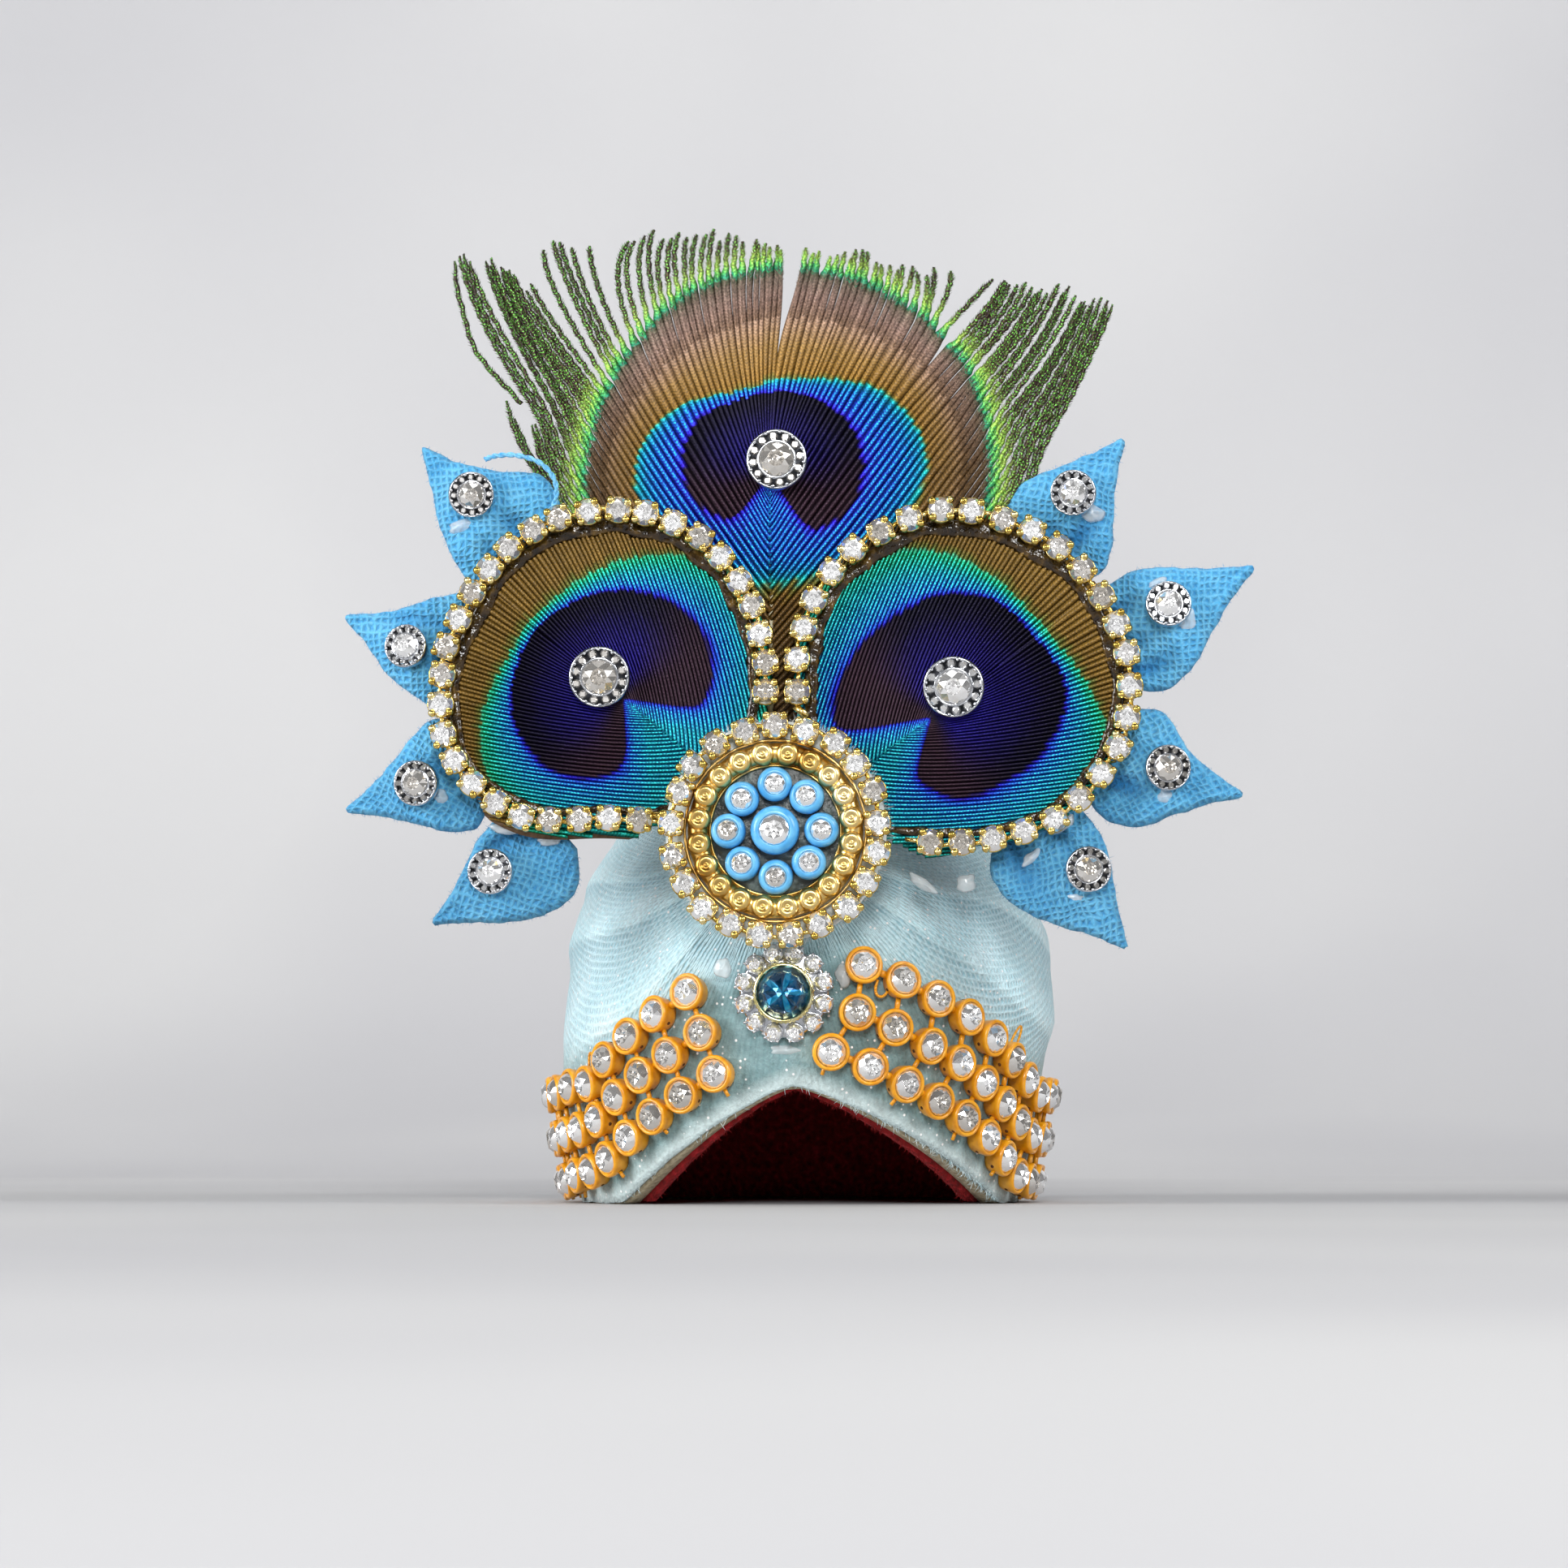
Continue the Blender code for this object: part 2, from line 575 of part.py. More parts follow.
def brooch_base():
    """The round ground of the brooch, with a pad behind it that is cut to the cap's curve."""
    points, faces = [], []
    x0, z0 = BROOCH_CENTRE
    pad_x, pad_z = BROOCH_PAD_CENTRE
    n, m = BROOCH_BASE_SIDES, BROOCH_PAD_SIDES
    for depth in (BASE_FRONT, BASE_BACK):
        for k in range(n):
            turn = 2.0 * math.pi * k / n
            points.append((x0 + BROOCH_BASE_RADIUS * math.cos(turn), -depth, z0 + BROOCH_BASE_RADIUS * math.sin(turn)))
    for reach, seated in ((1.0, False), (1.0, True), (0.5, True)):
        for k in range(m):
            turn = 2.0 * math.pi * k / m
            x = pad_x + reach * BROOCH_PAD_RADIUS * math.cos(turn)
            z = pad_z + reach * BROOCH_PAD_RADIUS * math.sin(turn)
            points.append((x, cap_front(x, z) - BROOCH_PAD_GAP if seated else -BASE_BACK, z))
    points.append((pad_x, cap_front(pad_x, pad_z) - BROOCH_PAD_GAP, pad_z))
    faces.append(tuple(range(n)))
    for k in range(n):
        j = (k + 1) % n
        faces.append((j, k, n + k, n + j))
    # the back of the disc, from its edge to the pad
    i = j = 0
    while i < n or j < m:
        here, pad = n + i % n, 2 * n + j % m
        if j >= m or (i < n and (i + 1) / n <= (j + 1) / m):
            faces.append((n + (i + 1) % n, here, pad))
            i += 1
        else:
            faces.append((here, pad, 2 * n + (j + 1) % m))
            j += 1
    for k in range(m):
        j = (k + 1) % m
        faces.append((2 * n + j, 2 * n + k, 2 * n + m + k, 2 * n + m + j))
        faces.append((2 * n + m + j, 2 * n + m + k, 2 * n + 2 * m + k, 2 * n + 2 * m + j))
        faces.append((2 * n + 2 * m + j, 2 * n + 2 * m + k, 2 * n + 3 * m))
    solid("brooch_base", points, faces, (0.10, 0.10, 0.11), 0.0, 0.8)


brooch_base()

path = []
for step in range(BROOCH_CHAIN_STEPS):
    turn = 2.0 * math.pi * step / BROOCH_CHAIN_STEPS
    x = BROOCH_CENTRE[0] + BROOCH_CHAIN_RADIUS * math.cos(turn)
    z = BROOCH_CENTRE[1] + BROOCH_CHAIN_RADIUS * math.sin(turn)
    path.append((x, -BROOCH_SEAT - CHAIN_RADIUS, z))
tube("brooch_chain", path, CHAIN_RADIUS, True, (0.80, 0.66, 0.35), 0.0, 0.2)

# the beaded ring: a ring that swells into a bead and pinches in between
points, faces = [], []
around = 2 * BEADS
PROFILE = [
    # across, height as a share of the bead's
    (-1.0, 0.0),
    (-1.0, 0.45),
    (-0.45, 1.0),
    (0.45, 1.0),
    (1.0, 0.45),
    (1.0, 0.0),
]
for step in range(around):
    turn = 2.0 * math.pi * step / around
    half = BEAD_RADIUS if step % 2 == 0 else BEAD_PINCH
    tall = BEAD_HEIGHT if step % 2 == 0 else 0.6 * BEAD_HEIGHT
    for across, up in PROFILE:
        reach = BEAD_RING_RADIUS + across * half
        x = BROOCH_CENTRE[0] + reach * math.cos(turn)
        z = BROOCH_CENTRE[1] + reach * math.sin(turn)
        points.append((x, -BROOCH_SEAT - up * tall, z))
for step in range(around):
    here, ahead = step * len(PROFILE), (step + 1) % around * len(PROFILE)
    for k in range(len(PROFILE)):
        j = (k + 1) % len(PROFILE)
        faces.append((here + k, here + j, ahead + j, ahead + k))
solid("brooch_bead_ring", points, faces, (0.80, 0.56, 0.18), 1.0, 0.25)

stone(
    "flower_center_stone",
    BROOCH_CENTRE[0],
    BROOCH_CENTRE[1],
    FLOWER_HEART_RADIUS,
    FLOWER_HEART_HEIGHT,
    BROOCH_SEAT,
    8,
    (0.10, 0.45, 0.80),
)
for cup in range(FLOWER_CUPS):
    turn = 2.0 * math.pi * cup / FLOWER_CUPS
    x = BROOCH_CENTRE[0] + FLOWER_RADIUS * math.cos(turn)
    z = BROOCH_CENTRE[1] + FLOWER_RADIUS * math.sin(turn)
    name = "flower_stone_" + str(cup + 1)
    stone(name, x, z, FLOWER_CUP_RADIUS, FLOWER_HEIGHT, BROOCH_SEAT, 8, (0.10, 0.45, 0.80))

# the pendant's setting: a scalloped plate with a round collar
points, faces = [], []
rim = 2 * PENDANT_LOBES
x0, z0 = PENDANT_CENTRE
for depth in (PENDANT_BACK, PENDANT_BACK + PENDANT_PLATE):
    for k in range(rim):
        turn = 2.0 * math.pi * k / rim
        reach = PENDANT_RADIUS if k % 2 == 0 else PENDANT_VALLEY
        points.append((x0 + reach * math.cos(turn), -depth, z0 + reach * math.sin(turn)))
for depth in (PENDANT_BACK + PENDANT_PLATE, PENDANT_BACK + PENDANT_COLLAR_HEIGHT):
    for k in range(PENDANT_LOBES):
        turn = 2.0 * math.pi * k / PENDANT_LOBES
        points.append((x0 + PENDANT_COLLAR * math.cos(turn), -depth, z0 + PENDANT_COLLAR * math.sin(turn)))
faces.append(tuple(range(rim - 1, -1, -1)))
for k in range(rim):
    j = (k + 1) % rim
    faces.append((k, j, rim + j, rim + k))
collar = 2 * rim
for k in range(PENDANT_LOBES):
    j = (k + 1) % PENDANT_LOBES
    faces.append((rim + 2 * k, rim + 2 * k + 1, collar + k))
    faces.append((rim + 2 * k + 1, rim + (2 * k + 2) % rim, collar + j))
    faces.append((rim + 2 * k + 1, collar + j, collar + k))
    faces.append((collar + k, collar + j, collar + PENDANT_LOBES + j, collar + PENDANT_LOBES + k))
faces.append(tuple(collar + PENDANT_LOBES + k for k in range(PENDANT_LOBES)))
solid("pendant_setting", points, faces, (0.85, 0.76, 0.40), 1.0, 0.25)
stone(
    "pendant_stone",
    x0,
    z0,
    PENDANT_STONE,
    PENDANT_STONE_HEIGHT,
    PENDANT_BACK + PENDANT_COLLAR_HEIGHT + GAP,
    12,
    (0.01, 0.16, 0.30),
    foot=1.0,
    girdle=0.4,
)

# The origin goes to the middle of the bottom of the whole crown
lows, highs = [], []
bpy.context.view_layer.update()
for thing in solids:
    shape = thing.evaluated_get(bpy.context.evaluated_depsgraph_get()).to_mesh()
    lows.append([min(v.co[k] for v in shape.vertices) for k in range(3)])
    highs.append([max(v.co[k] for v in shape.vertices) for k in range(3)])
low = [min(row[k] for row in lows) for k in range(3)]
high = [max(row[k] for row in highs) for k in range(3)]
shift = Vector((-0.5 * (low[0] + high[0]), -0.5 * (low[1] + high[1]), -low[2]))
for thing in solids:
    if thing.type == "MESH":
        for vertex in thing.data.vertices:
            vertex.co += shift
    else:
        for point in thing.data.splines[0].points:
            point.co += Vector((*shift, 0.0))
print("size in mm", [round((b - a) * 1000, 2) for a, b in zip(low, high)], "shift", [round(s * 1000, 2) for s in shift])
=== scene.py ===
# Deity crown: a cap covered in pale blue net with a band of set stones, and on its front a flat
# ornament of feather eyes, folded cloth petals, stone chains, a brooch and a pendant.
import math
import random

import bpy
import numpy as np
from mathutils import Matrix, Vector, noise


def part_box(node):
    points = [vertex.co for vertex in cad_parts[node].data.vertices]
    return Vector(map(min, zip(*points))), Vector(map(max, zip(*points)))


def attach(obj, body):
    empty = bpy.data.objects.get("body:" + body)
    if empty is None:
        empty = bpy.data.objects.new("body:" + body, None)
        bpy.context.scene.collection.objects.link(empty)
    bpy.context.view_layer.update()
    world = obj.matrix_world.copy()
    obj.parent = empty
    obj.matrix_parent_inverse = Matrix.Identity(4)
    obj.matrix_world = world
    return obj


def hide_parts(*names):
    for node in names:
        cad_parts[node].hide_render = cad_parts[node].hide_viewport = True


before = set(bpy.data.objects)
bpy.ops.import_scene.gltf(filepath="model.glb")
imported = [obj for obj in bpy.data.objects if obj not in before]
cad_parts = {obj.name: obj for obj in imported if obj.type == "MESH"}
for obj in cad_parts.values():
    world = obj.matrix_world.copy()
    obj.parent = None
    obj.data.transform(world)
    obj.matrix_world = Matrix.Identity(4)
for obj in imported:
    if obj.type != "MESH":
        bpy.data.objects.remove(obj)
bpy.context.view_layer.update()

# Place of the parts
# Every size here is in the part's own millimetres, whose Z axis is the cap's own axis. The brooch's chain
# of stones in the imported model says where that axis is.
MM = 0.001
BROOCH_X, BROOCH_Z = -0.55, 33.9
BROOCH_CHAIN_DEPTH = 31.3
low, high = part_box("brooch_chain")
AXIS = (low + high) / 2 - Vector((BROOCH_X, -BROOCH_CHAIN_DEPTH, BROOCH_Z)) * MM


def linear(code):
    """The linear colour of an sRGB hex code."""
    parts = [int(code[i : i + 2], 16) / 255 for i in (1, 3, 5)]
    parts = [c / 12.92 if c <= 0.04045 else ((c + 0.055) / 1.055) ** 2.4 for c in parts]
    return (*parts, 1.0)


def feed(socket, value):
    """Sets a socket's value, or links it to what feeds it: a socket, or a node's first output in use."""
    if isinstance(value, bpy.types.Node):
        value = next(output for output in value.outputs if output.enabled)
    if isinstance(value, bpy.types.NodeSocket):
        socket.id_data.links.new(value, socket)
    else:
        socket.default_value = value


def add(tree, kind, inputs=(), stops=(), out=None, **settings):
    """Adds one node and gives it, or its output named out. Settings are its own. Inputs are its sockets'
    values or what feeds them, by name or in the order of those in use. Stops are the places and colours of
    a ramp."""
    made = tree.nodes.new("ShaderNode" + kind)
    for key, value in settings.items():
        setattr(made, key, value)
    if not isinstance(inputs, dict):
        in_use = [i for i, socket in enumerate(made.inputs) if socket.enabled]
        inputs = dict(zip(in_use, inputs))
    for key, value in inputs.items():
        feed(made.inputs[key], value)
    if stops:
        ramp = made.color_ramp
        while len(ramp.elements) < len(stops):
            ramp.elements.new(1.0)
        for element, (place, code) in zip(ramp.elements, sorted(stops)):
            element.position = place
            element.color = linear(code)
    return made.outputs[out] if out else made


def finish_of(name, colour, metallic=0.0, roughness=0.5, **sockets):
    """A material with its Principled shader, whose even values are set on the shader's own sockets."""
    made = bpy.data.materials.new(name)
    made.use_nodes = True
    shader = made.node_tree.nodes["Principled BSDF"]
    even = {"Base Color": linear(colour), "Metallic": metallic, "Roughness": roughness}
    for key, value in {**even, **sockets}.items():
        shader.inputs[key.replace("_", " ")].default_value = value
    return made, made.node_tree, shader


def in_millimetres(tree):
    """The place on the object, in millimetres, for patterns that don't need the piece's own UVs."""
    place = add(tree, "TexCoord", out="Object")
    return add(tree, "Mapping", {"Vector": place, "Scale": (1.0 / MM,) * 3})


def grained(name, colour, grain, stops, bump=None, **finish):
    """A finish whose colour wanders between its stops with a grain, which is given as patches in a
    millimetre and detail. Bump is how deep the same grain is, in metres, and how strongly it shows."""
    made, tree, shader = finish_of(name, colour, **finish)
    grain = add(tree, "TexNoise", (in_millimetres(tree), *grain))
    feed(shader.inputs["Base Color"], add(tree, "ValToRGB", (grain,), stops=stops))
    if bump:
        inputs = {"Height": grain, "Distance": bump[0], "Strength": bump[1]}
        feed(shader.inputs["Normal"], add(tree, "Bump", inputs))
    return made


def solid(points, faces, part=0, flat=False):
    """A shape: points, faces, and for each face its material's place and whether it is flat."""
    return points, faces, [part] * len(faces), [flat] * len(faces)


def piece(name, shape, materials, uvs=None, fields=None):
    """A mesh from a shape in the part's millimetres, riding on the crown. UVs and fields go by point."""
    points, faces, parts, flats = shape
    mesh = bpy.data.meshes.new(name)
    places = np.asarray(points, float) * MM + np.array(AXIS)
    mesh.from_pydata(places.tolist(), [], [tuple(f) for f in faces])
    for material in materials:
        mesh.materials.append(material)
    mesh.polygons.foreach_set("material_index", np.asarray(parts, np.int32))
    mesh.polygons.foreach_set("use_smooth", ~np.asarray(flats, bool))
    if uvs is not None:
        corners = np.zeros(len(mesh.loops), np.int32)
        mesh.loops.foreach_get("vertex_index", corners)
        layer = mesh.uv_layers.new(name="surface")
        layer.data.foreach_set("uv", np.asarray(uvs, np.float32)[corners].ravel())
    for field, values in (fields or {}).items():
        layer = mesh.attributes.new(field, "FLOAT", "POINT")
        layer.data.foreach_set("value", np.asarray(values, np.float32))
    mesh.update()
    made = bpy.data.objects.new(name, mesh)
    bpy.context.scene.collection.objects.link(made)
    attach(made, "root")
    return made


# Camera
# Near the floor and tipped a little up, a few degrees to the right, as the photograph was taken.
camera = bpy.data.objects.new("camera", bpy.data.cameras.new("camera"))
bpy.context.scene.collection.objects.link(camera)
bpy.context.scene.camera = camera
CAMERA_TURN, CAMERA_RISE = math.radians(3.5), math.radians(-4.0)
CAMERA_AWAY, CAMERA_SEES = 0.45, 0.1431
SENSOR_WIDTH = 36.0
camera_target = Vector((-0.0012, -0.0245, 0.0384))
level = math.cos(CAMERA_RISE)
camera_back = Vector((math.sin(CAMERA_TURN) * level, -math.cos(CAMERA_TURN) * level, math.sin(CAMERA_RISE)))
camera.location = camera_target + camera_back * CAMERA_AWAY
camera.rotation_mode = "QUATERNION"
camera.rotation_quaternion = (-camera_back).to_track_quat("-Z", "Y")
camera.data.sensor_width = SENSOR_WIDTH
camera.data.lens = SENSOR_WIDTH * CAMERA_AWAY / CAMERA_SEES
camera.data.clip_start = 0.01

# Cap
# A stiff cap of buckram and felt, open below, its front rim arched over the forehead. The inside is lined
# with red felt, and pale blue net is stretched over the outside in folds that run from the brooch round the
# sides.
CAP_HALF_WIDTH = 23.2
CAP_HALF_DEPTH = 26.5
CAP_WIDEST_Z = 16.0
CAP_TOP_Z = 44.0
CAP_ROUNDNESS = 2.3
CAP_RIM_TUCK = 2.3
CAP_TUCK_POWER = 1.6
NET_WALL = 0.45
CAP_WALL = 2.0
LINING_FROM, LINING_TO = 2.3, 3.3
LINING_SHOWS = 0.3
ARCH_RISE = 10.8
ARCH_PEAK = 2.0
ARCH_LEFT_ANGLE = 52.0
ARCH_RIGHT_ANGLE = 66.0
ARCH_POWER = 1.25
CAP_LEAN = 0.9
CAP_LEAN_RISE = (8.0, 22.0)
FOLD_AXIS_Z = 34.0
FOLDS = [
    # side, angle in degrees, height, half width in degrees
    (-1, -46.0, 0.55, 7.0), (-1, -28.0, 0.75, 7.0), (-1, -15.0, 0.60, 7.0), (-1, 8.0, 0.50, 9.0),
    (-1, 36.0, 0.50, 9.0), (-1, 64.0, 0.45, 9.0), (1, -37.0, 0.80, 7.0), (1, -22.0, 0.60, 7.0),
    (1, -2.0, 0.55, 8.0), (1, 22.0, 0.50, 9.0), (1, 46.0, 0.45, 9.0), (1, 70.0, 0.40, 8.0),
]
PLEAT_TURN = 3.6
PLEAT_HEIGHT = 0.10


def smooth(low, high, value):
    """0 below low, 1 above high, and an even curve between them."""
    t = min(max((value - low) / (high - low), 0.0), 1.0)
    return t * t * (3.0 - 2.0 * t)


def rim_height(azimuth):
    """Height of the rim. Azimuth is in degrees from the front."""
    turn = (azimuth - ARCH_PEAK + 180.0) % 360.0 - 180.0
    turn = turn / ARCH_RIGHT_ANGLE if turn > 0.0 else -turn / ARCH_LEFT_ANGLE
    if turn >= 1.0:
        return 0.0
    return ARCH_RISE * (1.0 - turn**ARCH_POWER) ** ARCH_POWER


def wall_point(azimuth, z, inset):
    """A point of the cap's wall at a height, some way in from its outside."""
    if z <= CAP_WIDEST_Z:
        shrink = 1.0
        tuck = CAP_RIM_TUCK * ((CAP_WIDEST_Z - z) / CAP_WIDEST_Z) ** CAP_TUCK_POWER
    else:
        rise = min((z - CAP_WIDEST_Z) / (CAP_TOP_Z - inset - CAP_WIDEST_Z), 1.0)
        sine = rise ** (CAP_ROUNDNESS / 2.0)
        shrink = math.sqrt(max(1.0 - sine * sine, 0.0)) ** (2.0 / CAP_ROUNDNESS)
        tuck = 0.0
    turn = math.radians(azimuth)
    across = (CAP_HALF_WIDTH - inset) * shrink - tuck
    along = (CAP_HALF_DEPTH - inset) * shrink - tuck
    lean = CAP_LEAN * smooth(*CAP_LEAN_RISE, z)
    return Vector((across * math.sin(turn) + lean, -along * math.cos(turn), z))


def fold_angle(point):
    """The angle of a point about the brooch, above the level of either side."""
    return math.degrees(math.atan2(point.z - FOLD_AXIS_Z, abs(point.x)))


def fold_turn(point):
    """The same angle, bent a little, as cloth does not fold along straight lines."""
    return fold_angle(point) + 7.0 * noise.noise(point * 0.055 + Vector((3.0, 0.0, 0.0)))


def fold_height(point, above_rim):
    """How far the net's folds stand out: each laps over the next below, so its lower side is steep."""
    angle = fold_turn(point)
    height = 0.0
    for side, centre, rise, width in FOLDS:
        off = (angle - centre) / width
        share = smooth(-3.0, 3.0, side * point.x)
        height += 0.8 * share * rise * math.exp(-((off / (1.25 if off > 0.0 else 0.42)) ** 2))
    pleat = math.sin(angle / PLEAT_TURN * math.pi + 2.5 * noise.noise(point * 0.15))
    height += PLEAT_HEIGHT * pleat * (0.6 + noise.noise(point * 0.2 + Vector((9.0, 0.0, 0.0))))
    fade = smooth(13.8, 18.0, above_rim) * smooth(5.0, 14.0, math.hypot(point.x, point.z - FOLD_AXIS_Z))
    return max(height * fade, 0.0)


def skin(rows, sides, ends=True):
    """Faces between rings of points that follow one another, with or without a face on each end ring."""
    faces = []
    for low in range(0, (rows - 1) * sides, sides):
        high = low + sides
        faces += [(low + k, low + (k + 1) % sides, high + (k + 1) % sides, high + k) for k in range(sides)]
    if ends:
        faces.append(tuple(range(sides - 1, -1, -1)))
        faces.append(tuple(range((rows - 1) * sides, rows * sides)))
    return faces


def cap_ring(row, low_rows, top_rows, inset, around, foot_of):
    """One ring of the cap's wall, from the rim up: azimuth, point and height above the rim."""
    ring = []
    for step in range(around):
        azimuth = 360.0 * step / around
        foot = foot_of(azimuth)
        if row < low_rows:
            z = foot + (CAP_WIDEST_Z - foot) * row / low_rows
        else:
            rise = math.sin(0.5 * math.pi * (row - low_rows) / top_rows)
            z = CAP_WIDEST_Z + (CAP_TOP_Z - inset - CAP_WIDEST_Z) * rise ** (2.0 / CAP_ROUNDNESS)
        ring.append((azimuth, wall_point(azimuth, z, inset), z - rim_height(azimuth)))
    return ring


def cap_layer(name, insets, rows, around, materials, foot_of=rim_height, shape=None, edge_lift=0.0):
    """A closed dome between two insets. Shape moves points outward, and edge_lift rounds the edge."""
    points, uvs = [], []
    fields = {"above": [], "fold": [], "hand": []}
    for inside, inset in enumerate(insets):
        for row in range(sum(rows)):
            for azimuth, point, over in cap_ring(row, *rows, inset, around, foot_of):
                normal = Vector((point.x, point.y, 1.2 * max(point.z - CAP_WIDEST_Z, 0.0))).normalized()
                uvs.append((0.35 * fold_angle(point), point.y))
                fields["above"].append(over)
                fields["fold"].append((fold_turn(point) + 90.0) / 180.0)
                fields["hand"].append(smooth(-2.0, 2.0, point.x))
                point = point + normal * (shape(point, over) if shape else 0.0)
                if inside and row == 0:
                    point = point + Vector((0.0, 0.0, edge_lift))
                points.append(point)
        points.append(Vector((CAP_LEAN, 0.0, CAP_TOP_Z - inset)))
        uvs.append((30.0, 0.0))
        for field, value in (("above", 30.0), ("fold", 1.0), ("hand", 0.5)):
            fields[field].append(value)
    count = sum(rows)
    half = count * around + 1
    last = half - 1 - around
    dome = skin(count, around, ends=False)
    dome += [(last + i, last + (i + 1) % around, half - 1) for i in range(around)]
    faces = dome + [tuple(half + i for i in face[::-1]) for face in dome]
    for i in range(around):
        j = (i + 1) % around
        faces.append((j, i, half + i, half + j))
    return piece(name, solid(points, faces), materials, uvs, fields)


# Nylon net, knitted and stretched over grey-blue felt: fine pale threads with darker holes between them, a
# milky look where folds lie on each other, painted shade in the creases under the folds, and here and there
# a speck of glitter.
net, tree, shader = finish_of(
    "nylon_net_stretched", "#A9D5DF", roughness=0.72, Sheen_Weight=0.35, Sheen_Roughness=0.4
)
place = in_millimetres(tree)
cloth = add(tree, "UVMap", uv_map="surface")
above = add(tree, "Attribute", out="Fac", attribute_name="above")
wander = add(tree, "TexNoise", (place, 0.9, 2.0))
# the real net has a thread every 0.3 mm; it is drawn at 0.42 mm, so that it shows
THREAD_EVERY = 0.42
WAVES_PER_MM = 3.1831  # bands of a wave texture of scale 1
threads = []
for turn in (0.35, -0.95):
    turned = add(tree, "Mapping", {"Vector": cloth, "Rotation": (0.0, 0.0, turn)})
    wave = (turned, 1.0 / (THREAD_EVERY * WAVES_PER_MM), 1.2, 1.0, 0.6)
    threads.append(add(tree, "TexWave", wave, out="Fac"))
weave = add(tree, "Math", (threads[0], threads[1]), operation="MAXIMUM")
cloud = add(tree, "TexNoise", (place, 0.22, 5.0, 0.6))
body = add(tree, "ValToRGB", (cloud,), stops=[(0.30, "#B0E2EE"), (0.5, "#CAF0F8"), (0.72, "#E4FAFE")])
felted = add(tree, "ValToRGB", (cloud,), stops=[(0.30, "#5F8183"), (0.55, "#76979A"), (0.75, "#9CB7B9")])
wrapped = add(tree, "MapRange", (above, 11.5, 15.5))
# painted shade and highlight on the folds: each fold is palest on its lip, where the net also lies double,
# and darkest in the crease under it, where shade falls
fold = add(tree, "Attribute", out="Fac", attribute_name="fold")
hand = add(tree, "Attribute", out="Fac", attribute_name="hand")
painted_fold_shades = []
for side in (-1, 1):
    stops = [(0.0, "#B8B8B8")]
    for _, angle, _, width in sorted(f for f in FOLDS if f[0] == side):
        lip = (angle + 90.0) / 180.0
        stops += [
            (lip - 0.022, "#A6A6A6"), (lip - 0.007, "#6E6E6E"), (lip, "#FFFFFF"), (lip + 0.030, "#D8D8D8")
        ]
    painted_fold_shades.append(add(tree, "ValToRGB", (fold,), stops=stops))
lip = add(tree, "Mix", (hand, painted_fold_shades[0], painted_fold_shades[1]), data_type="RGBA")
fold_shaded = add(tree, "Mix", (lip, linear("#7CB2C2"), body), data_type="RGBA")
edge = add(tree, "MapRange", (above, 2.2, 0.8, 0.0, 0.8))
edged = add(tree, "Mix", (edge, felted, linear("#C6D6D6")), data_type="RGBA")
ground = add(tree, "Mix", (wrapped, edged, fold_shaded), data_type="RGBA")
threaded = add(tree, "Mix", (weave, ground, linear("#E0F5FA")), data_type="RGBA")
strength = add(tree, "MapRange", (wrapped, 0.0, 1.0, 0.07, 0.50))
strength = add(tree, "Math", (weave, strength), operation="MULTIPLY")
feed(threaded.inputs["Factor"], strength)
glitter = add(tree, "TexVoronoi", (place, 1.35), feature="F1")
speck = add(tree, "MapRange", (glitter.outputs["Distance"], 0.20, 0.12))
chance = add(tree, "SeparateColor", (glitter.outputs["Color"],), out="Red")
few = add(tree, "Math", (chance, 0.38), operation="GREATER_THAN")
speck = add(tree, "Math", (speck, few), operation="MULTIPLY")
fibre = add(tree, "TexNoise", (place, 2.6, 4.0, 0.65))
matted = add(tree, "MapRange", (fibre, 0.3, 0.7, 0.80, 1.16))
matted = add(tree, "CombineColor", (matted, matted, matted))
hairy = add(tree, "Mix", (1.0, threaded, matted), data_type="RGBA", blend_type="MULTIPLY")
final = add(tree, "Mix", (speck, hairy, linear("#FFFFFF")), data_type="RGBA")
feed(shader.inputs["Base Color"], final)
rough = add(tree, "MapRange", (speck, 0.0, 1.0, 0.72, 0.18))
feed(shader.inputs["Roughness"], rough)
woven = add(tree, "Math", (strength, 1.4), operation="MULTIPLY")
relief = add(tree, "Math", (lip, wrapped, woven), operation="MULTIPLY_ADD")
relief = add(tree, "Math", (relief, fibre), operation="ADD")
feed(shader.inputs["Normal"], add(tree, "Bump", {"Height": relief, "Distance": 0.00024, "Strength": 0.9}))

# Buckram, a stiffened cotton: dull beige, seen only as a thin line in the rim.
buckram = grained(
    "buckram_stiffened", "#B5A98A", (2.2, 3.0), [(0.3, "#8F8268"), (0.7, "#C6BA9C")], bump=(0.0001, 0.8),
    roughness=0.9,
)

# Red wool felt, pressed: matt and deep, brighter and hairy at its cut edge.
red_felt = grained(
    "red_felt_pressed", "#5A0A08", (1.6, 6.0), [(0.3, "#6C0A0A"), (0.55, "#9A1416"), (0.75, "#C42A34")],
    bump=(0.0002, 0.9), roughness=0.95, Sheen_Weight=0.2, Sheen_Tint=linear("#C03040"),
)


def net_edge(azimuth):
    """The net's cut edge wanders a little over the rim."""
    turn = Vector((math.cos(math.radians(azimuth)), math.sin(math.radians(azimuth)), 0.0))
    return rim_height(azimuth) + 0.10 + 0.10 * noise.noise(turn * 9.0)


def lining_foot(azimuth):
    """The lining's cut edge hangs a little below the rim."""
    turn = Vector((math.cos(math.radians(azimuth)), math.sin(math.radians(azimuth)), 3.0))
    return max(rim_height(azimuth) - LINING_SHOWS, 0.25) + 0.12 * noise.noise(turn * 14.0)


